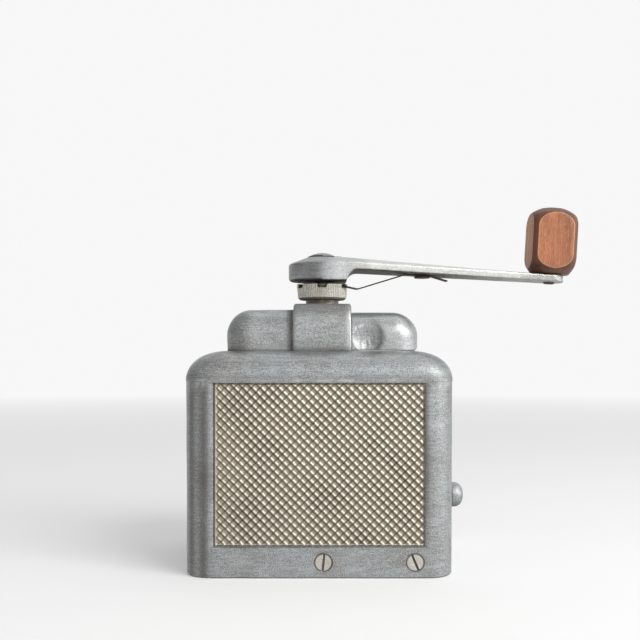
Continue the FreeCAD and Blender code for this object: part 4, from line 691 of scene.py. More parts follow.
def nut_metal(paint):
    """Aged plating with brown patina in the knurl, and painted shade below it and in the notches."""
    return metal(
        "nut_metal", paint.nut, paint.nut_dirt_and_shade, rough=0.42, cloud=0.3, patchy=0.55, film_and_shade=1.0, deep=0.03
    )


def sheet_metal(paint):
    """Rolled sheet with its lines along X."""
    return metal(
        "sheet_metal", paint.screw, paint.cast_stain_and_shade, rough=0.35, cloud=0.08, patchy=0.35, deep=0.02,
        metallic=0.9, stretch=(0.1, 2.5, 2.5),
    )


def dark_steel(paint):
    """Browned steel with hardly any bright metal left."""
    return metal(
        "dark_steel", paint.steel, paint.crank_film_and_shade, rough=0.5, patchy=0.6, metallic=0.2, deep=0.03, bright=0.08
    )


# Pieces


class MillOperator:
    """Makes one piece, or a group of like pieces, from the scene's sizes and colours"""

    bl_options = {"REGISTER", "UNDO"}

    def execute(self, context):
        self.make(context.scene.mill_sizes, context.scene.mill_colours)
        return {"FINISHED"}


class MILL_OT_casting(MillOperator, Operator):
    """Cast box: a closed ring of rounded rectangles from the foot over the shoulder into the cavity"""

    bl_idname = "mill.casting"
    bl_label = "Cast box"

    def make(self, sizes, paint):
        half_x, half_y = SHELL_HIGH[0] - BOX_MIDDLE, SHELL_HIGH[1]
        roll, wall, step = sizes.shoulder, 4.0, 0.35
        lip = BOX_TOP - roll
        mouth = 21.0
        rebate, plate = 1.8, 1.5
        outer = profile([
            (step + 0.5, 0.0), (step, 0.8, 0.6), (step, lip, 0.1), (0.0, lip, 0.12),
            (0.0, BOX_TOP, roll - 0.3), (mouth, BOX_TOP, 0.7), (mouth, BOX_TOP - wall),
        ], steps=14)
        inner = profile([
            (mouth, BOX_TOP - wall), (wall, BOX_TOP - wall, roll - wall), (wall, plate), (rebate, plate),
            (rebate, 0.0), (step + 0.5, 0.0),
        ], steps=10)
        outer, inner = refine(outer, 4.0), refine(inner, 8.0)[1:-1]
        inset = np.concatenate([outer[:, 0], inner[:, 0]])
        level = np.concatenate([outer[:, 1], inner[:, 1]])
        corner = np.concatenate([
            np.interp(outer[:, 0], (0, roll, mouth), (sizes.corner, sizes.corner - roll * 0.4, 9.0)),
            np.interp(inner[:, 0], (rebate, wall, roll, mouth), (9.2, 7.0, 3.1, 9.0)),
        ])
        rows = plan(half_x - inset, half_y - inset, corner, bend=14)
        wider = np.where(level < lip - 0.05, 0.22 - 0.3 * (lip - level) / lip, 0.0)
        rows[..., 0] *= (1 + wider / half_x)[:, None]
        points = standing(rows, level)
        end = ramp(np.abs(points[..., 0]), 39.0, 48.0)
        points[..., 2] -= 0.7 * end**2 * (3 - 2 * end) * ramp(points[..., 2], lip, BOX_TOP)
        points[..., 0] += BOX_MIDDLE
        box = cut(mesh_of("box", [lattice(points, wrap_rows=True)]), self.cutters(half_y - step))
        half_lug, tall = 2.4, HINGE_Z - BOX_TOP + 2.4
        bend = half_lug - 0.01
        lug = profile([
            (-half_lug, -1.0), (half_lug, -1.0), (half_lug, tall, bend), (-half_lug, tall, bend),
        ], 12, closed=True)
        extras = [beam(lug, 7.0, HINGE_X, BOX_TOP)]
        low, high = 75.2, 88.5
        pillar = profile([(0, low), (5.0, low, 0.5), (5.0, high), (0, high)])
        for x in (-30.0, 30.0):
            for y in (-28.5, 28.5):
                extras.append(lattice(moved(spun(pillar, 40), Matrix.Translation((x, y, 0)))))
        box = together("box", box, mesh_of("extras", extras))
        uneven(box, sizes.cast_wave, 26.0)
        finish_piece(
            "box_casting", box, "housing", ["body_shell"], cast_metal(paint),
            painted_shade=lambda points: self.box_shade(points, lip),
            worn_and_lit=lambda points: 0.9 * bell(points[:, 2], lip + 0.2, 0.5) * (swell(points, 4.0, 12) > 0.1),
        )

    def box_shade(self, points, lip):
        """Painted shade: 1 in the rail screws' seats, and darker bands down the box's left end and over the lip.
        """
        face = SHELL_HIGH[1] - 0.6
        seat = (from_screws(points) < 4.0) * ramp(np.abs(points[:, 1]), face, face - 0.3)
        inward, below = points[:, 0] - SHELL_LOW[0], lip - points[:, 2]
        left = 0.75 * bell(inward, 3.3, 1.2) + 0.85 * bell(inward, 8.5, 2.2)
        return np.maximum(seat, np.maximum(left * ramp(below, 0.0, 2.0), 0.35 * bell(below, -1.6, 1.6)))

    def cutters(self, face):
        """Panel recesses with bevelled sides, the drawer's mouth and the rail screws' seats.

        A recess is 86 mm wide from 13 mm up to 79.2 mm; outwards from 0.8 mm below the face its
        sides open by 1.5 mm and its foot by 0.6 mm for each unit of share.
        """
        tools = []
        for side in (-1, 1):
            rings = []
            for deep, share in ((-1.0, 2.25), (0.8, 0.0), (2.2, 0.0)):
                wide, low, high = 43.0 + 1.5 * share, 13.0 - 0.6 * share, 79.2
                ring = [(-wide, low), (wide, low), (wide, high), (-wide, high)]
                rings.append([(x + BOX_MIDDLE, side * (face - deep), z) for x, z in ring])
            tools.append(lattice(closed(np.array(rings))))
            seat = profile([(0, -0.5), (4.35, -0.5), (2.05, 1.9), (2.05, 5.0), (0, 5.0)], 2)
            turn = Matrix.Rotation(math.radians(90 * side), 4, "X")
            for x in SCREW_PLACES:
                place = Matrix.Translation((x, side * face, SCREW_LEVEL))
                tools.append(lattice(moved(spun(seat, 64), place @ turn)))
        half_y, half_z, middle = 27.9, 22.6, 28.2
        loop = plan(np.full(2, half_y), np.full(2, half_z), np.full(2, 3.0))
        reach = np.array([[-8.0], [2.0]]) + SHELL_HIGH[0]
        mouth = np.stack([np.broadcast_to(reach, loop.shape[:2]), loop[..., 0], loop[..., 1] + middle], -1)
        return tools + [lattice(closed(mouth))]


class MILL_OT_panels(MillOperator, Operator):
    """Ridged panels of the two large faces"""

    bl_idname = "mill.panels"
    bl_label = "Panels"

    def make(self, sizes, paint):
        material = panel_metal(paint)
        periods, parts = 24, 12
        for name, side in (("front_panel", -1), ("rear_panel", 1)):
            low, high = extent(name)
            inner, outer = sorted((abs(low[1]), abs(high[1])))
            step = (high[0] - low[0]) / (periods * parts)
            x = np.linspace(low[0], high[0], periods * parts + 1)
            z = np.append(np.arange(low[2], high[2] - step * 0.3, step), high[2])
            x, z = np.meshgrid(x, z)
            height, grime, shine = self.ridges(x, z - low[2], step * parts, sizes)
            grid = np.stack([x, side * (outer - sizes.ridge_tall + height), z], -1)
            rim = np.concatenate([grid[0], grid[1:, -1], grid[-1, -2::-1], grid[-2:0:-1, 0]])
            back = rim.copy()
            back[:, 1] = side * inner
            skirt = closed(np.stack([rim, back]), first=False)
            rest = np.zeros(skirt.shape[0] * skirt.shape[1])
            masks = {"grime": grime.ravel(), "shine": shine.ravel()}
            masks = {
                label: np.concatenate([values, rest]).astype(np.float32) for label, values in masks.items()
            }
            mesh = mesh_of(name, [lattice(grid, wrap_columns=False), lattice(skirt)], masks)
            finish_piece("ridged_" + name, mesh, "housing", [name], material, sharp=80.0)

    def ridges(self, x, z, period, sizes):
        """Two families of ridges at 45 degrees within a rim; the second notches the first.

        At the distance d from the nearest line a ridge is exp(-(d / width)^2) high; the ridges are
        narrower towards the left edge. Also gives where painted shade lies, on the lower left slopes, along
        the second family and at the rim's outermost edges, and where painted highlights lie, on the upper
        right slopes and along the rim's left and lower edges.
        """
        pitch = period / math.sqrt(2)
        main, second = (
            ((across / math.sqrt(2) / pitch + 0.5) % 1 - 0.5) * pitch for across in (x + z, x - z)
        )
        left, right, above = x - PANEL_LOW[0], PANEL_HIGH[0] - x, PANEL_HIGH[2] - PANEL_LOW[2] - z
        wide = sizes.ridge_wide * (0.65 + 0.35 * ramp(left, 4.0, 16.0))
        line = bell(second, 0, sizes.ridge_wide * 0.55)
        height = np.maximum(bell(main, 0, wide) * (1 - 0.5 * line), line * 0.5)
        deep = 0.6 + 0.3 * ramp(left, 0, 50.0)
        # painted shade on the lower left slopes and along the second family
        grime = 0.85 * bell(main, -0.9 * wide, 0.34) + deep * bell(second, 0, 0.27)
        shine = bell(main, 0.6 * wide, 0.45 * wide) * (1 - bell(second, 0, 0.5))
        # the raised rim also takes painted highlights at its left and along its foot; the outermost edges take
        # painted shade
        rim = np.maximum(bell(left, 0.8, 0.28), bell(z, 0.3, 0.3) * (left > 0.5))
        edge = np.clip(1.5 - np.minimum(left / 0.35, np.minimum(right / 0.7, above / 0.3)), 0, 1)
        height = np.maximum(height, rim) * (1 - edge)
        grime = np.maximum(grime * (1 - rim), edge * 0.8)
        shine = np.maximum(shine, rim) * (1 - edge)
        return height * sizes.ridge_tall, np.clip(grime, 0, 1), np.clip(shine, 0, 1)


class MILL_OT_screws(MillOperator, Operator):
    """Slotted countersunk screws that hold the drawer's rails, two in each large face"""

    bl_idname = "mill.screws"
    bl_label = "Rail screws"

    def make(self, sizes, paint):
        for name, side in (("front_rail_screws", -1), ("rear_rail_screws", 1)):
            low, high = extent(name)
            tip, face = sorted((abs(low[1]), abs(high[1])))
            head, shank = (high[2] - low[2]) / 2, 2.0
            line = profile([
                (0, face - tip), (shank, face - tip, 0.4), (shank, 1.8), (head, 0.35, 0.1),
                (head - 0.25, 0.0), (0, 0),
            ])
            screws = []
            for x, angle in ((low[0] + head, 84.0), (high[0] - head, 113.0)):
                place = Matrix.Translation((x, side * face, (high[2] + low[2]) / 2))
                turn = place @ Matrix.Rotation(math.radians(90 * side), 4, "X")
                screw = mesh_of("screw", [lattice(moved(spun(refine(line, 0.5), 72), turn))])
                long, wide = 4.5, 0.48
                slot = [
                    [(-long, y, -wide), (long, y, -wide), (long, y, wide), (-long, y, wide)]
                    for y in (-0.8 * side, 0.6 * side)
                ]
                slot = moved(np.array(slot), place @ Matrix.Rotation(math.radians(-angle), 4, "Y"))
                screws.append(cut(screw, [lattice(closed(slot))]))
            finish_piece(
                "slotted_" + name, together(name, *screws), "housing", [name],
                screw_metal(paint), sharp=40.0, painted_shade=self.dark,
            )

    def dark(self, points):
        """Painted shade: 1 in the slots and on the heads' rims."""
        face = -SCREWS_LOW[1]
        slot = ramp(np.abs(points[:, 1]), face - 0.15, face - 0.4)
        return np.maximum(slot, ramp(from_screws(points), SCREW_HEAD - 0.36, SCREW_HEAD - 0.26))


class MILL_OT_hood(MillOperator, Operator):
    """Hood over the hopper: bridge, fixed cover and hinged lid"""

    bl_idname = "mill.hood"
    bl_label = "Hood"

    def make(self, sizes, paint):
        material = cast_metal(paint)
        self.bridge(sizes, material)
        reach = BRIDGE_HIGH[0]
        cover = mesh_of("cover", self.shell(reach, -COVER_LOW[0], COVER_LOW[2], COVER_HIGH[2], sizes, None))
        cover.transform(Matrix.Scale(-1, 4, (1, 0, 0)))
        cover.flip_normals()
        uneven(cover, sizes.cast_wave * 1.6, 18.0, 4)
        finish_piece(
            "fixed_cover", cover, "housing", ["left_cover"], material, painted_shade=self.hood_shade
        )
        lid = mesh_of("lid", self.shell(LID_LOW[0], LID_HIGH[0], LID_LOW[2], LID_HIGH[2], sizes, self.scoop))
        notch = profile([(-3.0, -5.0), (5.0, -5.0), (5.0, 3.0), (-3.0, 3.0, 2.99)], 9, closed=True)
        lid = cut(lid, [beam(notch, 7.3, HINGE_X, HINGE_Z)])
        barrel = [(1.25, 7.3), (2.6, 7.3, 0.2), (2.6, 16.0, 0.2), (1.25, 16.0)]
        barrel = spun(profile(barrel, closed=True), 40)
        barrels = []
        for side in (-1, 1):
            turn = Matrix.Rotation(math.radians(-90 * side), 4, "X")
            turn = Matrix.Translation((HINGE_X, 0, HINGE_Z)) @ turn
            barrels.append(mesh_of("barrel", [lattice(moved(barrel, turn), wrap_rows=True)]))
        lid = together("lid", lid, *barrels)
        uneven(lid, sizes.cast_wave * 1.6, 15.0, 9)
        finish_piece(
            "hinged_lid", lid, "lid", ["hopper_lid"], material,
            painted_shade=self.lee, worn_and_lit=self.rubbed_and_lit,
        )

    def lee(self, points):
        """Painted shade along the hood's foot and beside the bridge, and a painted shade crescent at the far
        side of the scallops.
        """
        x, y, z = points.T
        off = np.hypot(x - SCALLOP_X, z - SCALLOP_Z)
        crescent = bell(off, 6.4, 1.3) * ramp(x, BRIDGE_HIGH[0] + 7.0, BRIDGE_HIGH[0] + 11.0)
        return np.maximum(self.hood_shade(points), crescent * (np.abs(y) < 36.0) * 0.75)

    def rubbed_and_lit(self, points):
        """Painted light: the lid is made lighter all over, more so at its far end and its upper edge."""
        return 0.2 + 0.18 * ramp(points[:, 0], 22.0, 26.0) + 0.14 * ramp(points[:, 2], 104.0, 106.0)

    def bridge(self, sizes, material):
        """An arch: a rounded section carried along the band between its outer and its inner line."""
        half_x, half_y, top = BRIDGE_HIGH
        outer = profile([(-half_y, BOX_TOP), (-half_y, top, 8.0), (half_y, top, 8.0), (half_y, BOX_TOP)], 14)
        leg, crown = 6.5, 8.1
        inner = profile([
            (leg - half_y, BOX_TOP), (leg - half_y, top - crown, 6.0), (half_y - leg, top - crown, 6.0),
            (half_y - leg, BOX_TOP),
        ], 14)
        parts = np.linspace(0, 1, 6)[:-1, None]
        lines = []
        for line in (outer, inner):
            fine = line[:-1, None] + np.diff(line, axis=0)[:, None] * parts
            lines.append(np.concatenate([fine.reshape(-1, 2), line[-1:]]))
        outer, inner = lines
        deep = 7.0
        section = [(-half_x, 0, 1.1), (half_x, 0, 1.1), (half_x, deep, 0.5), (-half_x, deep, 0.5)]
        section = refine(profile(section, 6, closed=True), 2.0, closed=True)
        share = (section[:, 1] / deep)[None, :, None]
        band = outer[:, None] * (1 - share) + inner[:, None] * share
        points = np.concatenate([np.broadcast_to(section[:, 0, None], band.shape[:2] + (1,)), band], -1)
        arch = mesh_of("arch", [lattice(closed(points))])
        bore = profile([(0, top - 12), (6.5, top - 12), (6.5, top + 2), (0, top + 2)], 2)
        arch = cut(arch, [lattice(spun(bore, 72))])
        uneven(arch, sizes.cast_wave * 1.2, 16.0, 7)
        finish_piece(
            "hood_bridge", arch, "housing", ["bridge"], material, painted_shade=self.hood_shade,
            # painted highlights along the bridge's two upright edges
            worn_and_lit=lambda points: 1.4 * ramp(np.abs(points[:, 0] + 0.3), half_x - 1.1, half_x - 0.7),
        )

    def hood_shade(self, points):
        """Painted shade along the hood's foot, beside the bridge and below the crank."""
        near = np.abs(points[:, 0]) - BRIDGE_HIGH[0]
        foot = ramp(points[:, 2], BOX_TOP + 1.0, BOX_TOP + 0.2) * 0.8
        beside = ramp(near, 3.4, 1.0) * (near > 0.05) * (points[:, 0] < 0)
        crank_shade = ramp(points[:, 2], 105.0, 110.0) * (near < 0.01)
        low = ramp(points[:, 2], 99.0, 96.0) * (near < 0.01)
        return np.maximum(np.maximum(foot, beside * 0.85), np.maximum(crank_shade * 0.55, low * 0.2))

    def shell(self, near, far, foot, top, sizes, press):
        """Half of the hood: outer and inner sheets of half loops, joined along the foot and the open side."""
        half_y = COVER_HIGH[1]
        sheets = []
        for skin in (0.0, sizes.hood_wall):
            corner = sizes.hood_corner - skin
            line = profile([(0, foot), (0, top - skin, corner), (half_y - skin, top - skin)], 14)
            line = np.concatenate([refine(line[:2], 0.5)[:-1], refine(line[1:], 1.6)])
            line = line[np.linspace(0, len(line) - 1, 64).round().astype(int)] if skin else line
            bend = np.maximum(corner - line[:, 0], 0.02)
            half_x = far - near - skin - line[:, 0]
            width = half_y - skin - line[:, 0]
            rows = plan(half_x, width, bend, across=70, along=54, bend=16, half_loop=True)
            rows[..., 0] += near
            sheets.append(standing(rows, line[:, 1]))
        outer, inner = sheets
        if press is not None:
            outer = press(outer)
        inner = inner[np.linspace(0, len(inner) - 1, len(outer)).round().astype(int)]
        foot_rim = np.stack([outer[0], inner[0]])
        sides = [np.stack([outer[:, column], inner[:, column]]) for column in (0, -1)]
        return [lattice(part, wrap_columns=False) for part in (outer, inner, foot_rim, *sides)]

    def scoop(self, points):
        """Thumb scallops and the relief under the far end.

        A scallop holds |y| below 33.3 - sqrt(r^2 - dx^2 - dz^2) about its ball of radius 10, and the
        relief holds x below the quarter circle of radius 2.9 about the hinge.
        """
        x, y, z = points[..., 0], points[..., 1], points[..., 2]
        ball = 10.0**2 - (x - SCALLOP_X) ** 2 - (z - SCALLOP_Z) ** 2
        limit = np.where(ball > 0, 33.3 - np.sqrt(np.maximum(ball, 0)), 99.0)
        rough = swell(points.reshape(-1, 3), 3.0, 3).reshape(x.shape) * 0.12
        held = np.sign(y) * np.minimum(np.abs(y), limit + rough)
        edge = HINGE_X + np.sqrt(np.maximum(2.9**2 - np.maximum(HINGE_Z - z, 0) ** 2, 0))
        return np.stack([np.minimum(x, edge), np.where(z < 106.5, held, y), z], -1)


class MILL_OT_drawer(MillOperator, Operator):
    """Drawer: folded tray, thick front and turned knob"""

    bl_idname = "mill.drawer"
    bl_label = "Drawer"

    def make(self, sizes, paint):
        half_x, half_y = (TRAY_HIGH[0] - TRAY_LOW[0]) / 2, TRAY_HIGH[1]
        low, high = TRAY_LOW[2], TRAY_HIGH[2]
        centre = half_y - 0.2
        line = profile([
            (centre, low), (0, low, 2.6), (0, high, 0.45), (1.0, high, 0.45), (1.0, low + 1, 1.6),
            (centre, low + 1),
        ], 8)
        line = refine(line, 6.0)
        rows = plan(half_x - line[:, 0], half_y - line[:, 0], np.maximum(3.0 - line[:, 0], 0.1))
        rows[..., 0] += (TRAY_HIGH[0] + TRAY_LOW[0]) / 2
        tray = mesh_of("tray", [lattice(closed(standing(rows, line[:, 1])))])
        finish_piece("folded_tray", tray, "drawer", ["drawer_tray"], sheet_metal(paint))

        half_z, middle = (FRONT_HIGH[2] - FRONT_LOW[2]) / 2, (FRONT_HIGH[2] + FRONT_LOW[2]) / 2
        back, face = FRONT_LOW[0], FRONT_HIGH[0]
        line = refine(profile([(8, back), (0, back, 0.3), (0, face, 0.8), (8, face), (20, face)]), 3.0)
        rows = plan(FRONT_HIGH[1] - line[:, 0], half_z - line[:, 0], np.maximum(2.6 - line[:, 0] * 0.3, 0.3))
        along = np.broadcast_to(line[:, 1, None], rows.shape[:2])
        front = np.stack([along, rows[..., 0], rows[..., 1] + middle], -1)
        front = mesh_of("front", [lattice(closed(front))])
        uneven(front, sizes.cast_wave, 20.0, 5)
        finish_piece("drawer_face", front, "drawer", ["drawer_front"], cast_metal(paint))

        knob_low, knob_high = extent("drawer_knob")
        reach, rim = knob_high[0] - knob_low[0] - 0.8, knob_high[1]
        line = profile([
            (0, 0), (3.9, 0, 0.2), (2.9, 1.0, 0.8), (2.9, reach - 6.2, 0.8), (rim - 0.7, reach - 5.6, 0.3),
            (rim, reach - 4.9, 0.5), (rim, reach, 3.9), (0, reach),
        ], 14)
        turn = Matrix.Translation((knob_low[0], 0, middle)) @ Matrix.Rotation(math.pi / 2, 4, "Y")
        knob = mesh_of("pull", [lattice(moved(spun(line, 80), turn))])
        uneven(knob, 0.04, 6.0, 6)
        finish_piece("drawer_pull", knob, "drawer", ["drawer_knob"], cast_metal(paint))


class MILL_OT_nut(MillOperator, Operator):
    """Adjusting nut: a tapered knurled ring with six notches in its upper face"""

    bl_idname = "mill.nut"
    bl_label = "Adjusting nut"

    def make(self, sizes, paint):
        foot, top = NUT_LOW[2], NUT_HIGH[2]
        rim, bore = NUT_HIGH[0] - 0.02, 4.05
        columns = sizes.knurl * 8
        angle = np.linspace(0, 2 * math.pi, columns, endpoint=False)
        knurl = np.cos(angle * sizes.knurl) * 0.5
        side = refine(profile([
            (bore, foot), (rim - 1.5, foot, 0.3), (rim - 0.6, foot + 0.9, 0.4), (rim, top - 0.35, 0.2),
            (rim - 0.35, top),
        ], 5), 0.6)
        face = np.stack([np.linspace(rim - 0.35, 6.45, 22), np.full(22, top)], -1)
        inner = np.array([(6.3, top), (5.2, top), (bore, top), (bore, foot + 2)])
        line = np.concatenate([side, face[1:], inner])
        radius, level = line[:, 0, None], line[:, 1, None]
        on_side = ramp(radius, 9.6, 10.1) * (level < top - 0.05)
        turned_radius = radius + (knurl - 0.5) * sizes.knurl_deep * on_side
        half = math.pi / 6
        across = (angle - math.pi / 2 + half) % (2 * half) - half
        offset = np.abs(turned_radius * np.sin(across))
        floor = top - NOTCH_DEEP * ramp(offset, 2.5, 1.8) * (radius > 6.35)
        level = np.minimum(np.broadcast_to(level, floor.shape), floor)
        points = np.stack([turned_radius * np.cos(angle), turned_radius * np.sin(angle), level], -1)
        nut = mesh_of("nut", [lattice(points, wrap_rows=True)])
        finish_piece(
            "knurled_nut", nut, "nut", ["adjusting_nut"], nut_metal(paint), sharp=50.0,
            painted_shade=self.notches,
        )

    def notches(self, points):
        """Painted shade: 1 on the floors and inner walls of the notches."""
        deep = NUT_HIGH[2] - points[:, 2]
        inside = np.hypot(points[:, 0], points[:, 1]) < NUT_HIGH[0] - 0.5
        return inside * (deep < 2.0) * ramp(deep, 0.3, 0.8)


class MILL_OT_crank(MillOperator, Operator):
    """Crank: hub and ribbed arm blended into one casting, with its domed screw"""

    bl_idname = "mill.crank"
    bl_label = "Crank"

    def make(self, sizes, paint):
        foot, crest, rim = HUB_FOOT, ARM_HIGH[2], -ARM_LOW[0]
        hub = profile([
            (0, foot), (rim, foot, 1.6), (rim, foot + 7.7, 1.5), (6.4, crest - 0.05, 0.8), (0, crest - 0.05)
        ], 10)
        roof = arm_under(BEND_X)
        hollow = profile([
            (10.8, foot - 2), (22, foot - 2), (22, roof - 0.4), (BEND_X, roof), (10.8, roof, 4.9)
        ], 12, closed=True)
        hub = cut(mesh_of("hub", [lattice(spun(refine(hub, 1.5), 128))]), [beam(hollow, 20.0)])
        crank = together("crank", hub, mesh_of("arm", [self.arm(rim)]))
        crank = with_modifier(crank, "REMESH", mode="VOXEL", voxel_size=sizes.crank_voxel)
        crank = with_modifier(crank, "SMOOTH", factor=0.5, iterations=6)
        uneven(crank, 0.035, 14.0, 2)
        finish_piece(
            "ribbed_crank", crank, "crank", ["crank_arm"], crank_metal(paint), sharp=60.0,
            # painted shade under the crank; painted highlight on the hub's side towards the arm
            painted_shade=self.film_and_shade, worn_and_lit=lambda points: bell(points[:, 0], 7.0, 4.0) * 0.8,
        )

        screw_low, screw_high = extent("crank_screw")
        head = screw_high[0]
        dome = screw_high[2] - crest
        bulge = (head**2 + dome**2) / (2 * dome)
        radius = np.linspace(head - 0.05, 0, 24)
        cap = np.stack([radius, crest + dome - bulge + np.sqrt(bulge**2 - radius**2)], -1)
        tip = screw_low[2]
        under = np.array([(0, tip), (2.0, tip), (2.0, crest), (head - 0.3, crest), (head, crest + 0.25)])
        screw = mesh_of("screw", [lattice(spun(np.concatenate([under, cap]), 96))])
        finish_piece(
            "domed_screw", screw, "crank", ["crank_screw"], crank_metal(paint), sharp=50.0,
            # painted shadow under the left rim of the screw's dome
            painted_shade=lambda points: ramp(points[:, 2], crest + 0.7, crest + 0.5) * (points[:, 0] < 0),
        )

    def film_and_shade(self, points):
        """Painted shade at the hub's far side and on the arm's underside, and darker towards the arm's end."""
        x, _, z = points.T
        hub = 0.45 * bell(x, -3.5, 4.0) * (z < HUB_FOOT + 8.0)
        below = 0.5 * (x > 14.0) * ramp(z, arm_under(x) + 0.5, arm_under(x) + 0.2)
        return np.maximum(np.maximum(hub, below), 0.2 * ramp(x, 86.0, 96.0))

    def arm(self, rim):
        """Sections along X: flat foot, upright sides and a crown z = side + ridge (1 - (y / half)^2).

        The half width falls evenly from the hub's to the end's and closes as half an ellipse; the
        underside drops outwards and comes down to the hub's foot in a quarter circle. About the
        handle's pin the crown is cut down to a flat seat.
        """
        reach, seat_level = KNOB_JOINT["pos_m"][0] / MM, KNOB_JOINT["pos_m"][2] / MM
        end, tip, upright, blend = 7.6, 6.0, 2.9, 11.0
        x = np.concatenate([
            np.linspace(0.0, 20, 80), np.linspace(20.5, reach, 150),
            reach + tip * np.sin(np.linspace(0.05, 1.56, 30)),
        ])
        half = rim - x * (rim - end) / reach
        past = ramp(x, reach, reach + tip)
        half = np.where(past > 0, end * np.sqrt(1 - past**2), half)
        arc = arm_under(BEND_X) - BEND + np.sqrt(np.maximum(BEND**2 - (BEND_X - x) ** 2, 0))
        low = np.where(x < BEND_X, np.maximum(HUB_FOOT, arc), arm_under(x))
        low = np.where(x < BEND_X - BEND, HUB_FOOT, low)
        side = np.interp(x, (1.0, blend), (HUB_FOOT + 7.55, arm_under(blend) + upright))
        side = np.where(x > blend, arm_under(x) + upright, side)
        ridge = np.interp(x, (1.0, blend), (3.15, 2.9))
        ridge = np.where(x < blend, ridge, 2.9 * (1 - 0.93 * (x - blend) / 97.6))
        ridge = ridge + 0.7 * bell(x, 6.8, 2.4)
        share = np.linspace(-1, 1, 41)
        crown = side[:, None] + ridge[:, None] * (1 - share**2)
        seat = (seat_level - (x - reach) * ARM_SLOPE)[:, None]
        near = np.hypot(x[:, None] - reach, half[:, None] * share) < 9.2
        crown = np.where(near, np.minimum(crown, seat), crown)
        along, under = (np.broadcast_to(line[:, None], crown.shape) for line in (x, low))
        upper = np.stack([along, half[:, None] * share, crown], -1)
        lower = np.stack([along, half[:, None] * share[::-1], under], -1)
        return lattice(closed(np.concatenate([upper, lower], 1)))


class MILL_OT_lock_spring(MillOperator, Operator):
    """Lock spring under the arm and its rivet"""

    bl_idname = "mill.lock_spring"
    bl_label = "Lock spring"

    def make(self, sizes, paint):
        slope, rivet_x, half = ARM_SLOPE, 44.6, 0.3
        base = arm_under(rivet_x) - 0.05
        tip_z = NUT_HIGH[2] - NOTCH_DEEP + 0.1 + half
        line = profile([
            (-34.5, tip_z), (-29.6, base - 6.6, 3.5), (-7.8, base + 7.8 * slope - half, 3.0),
            (4.0, base - 4.0 * slope - half, 1.0), (11.4, base - 11.4 * slope - 1.9),
        ])
        line = refine(line, 0.8)
        ahead = np.gradient(line, axis=0)
        ahead /= np.linalg.norm(ahead, axis=1, keepdims=True)
        section = [(-1.5, -half, 0.12), (1.5, -half, 0.12), (1.5, half, 0.12), (-1.5, half, 0.12)]
        section = profile(section, 4, closed=True)
        x = line[:, 0, None] - ahead[:, 1, None] * section[:, 1]
        z = line[:, 1, None] + ahead[:, 0, None] * section[:, 1]
        strip = np.stack([x, np.broadcast_to(section[:, 0], x.shape), z], -1)
        turn = Matrix.Translation((rivet_x, 0, 0)) @ Matrix.Rotation(math.radians(9.6), 4, "Z")
        material = dark_steel(paint)
        strip = mesh_of("strip", [lattice(closed(moved(strip, turn)))])
        finish_piece("notch_spring", strip, "crank", ["lock_spring"], material)
        head = base - 2 * half - 0.1
        line = profile([
            (0, head - 0.9), (3.5, head - 0.7, 0.3), (3.6, head, 0.1), (0.85, head), (0.85, head + 1.9),
            (0, head + 1.9),
        ])
        rivet = mesh_of("rivet", [lattice(moved(spun(line, 40), Matrix.Translation((rivet_x, 0, 0))))])
        finish_piece("spring_rivet", rivet, "crank", ["lock_spring_rivet"], material)


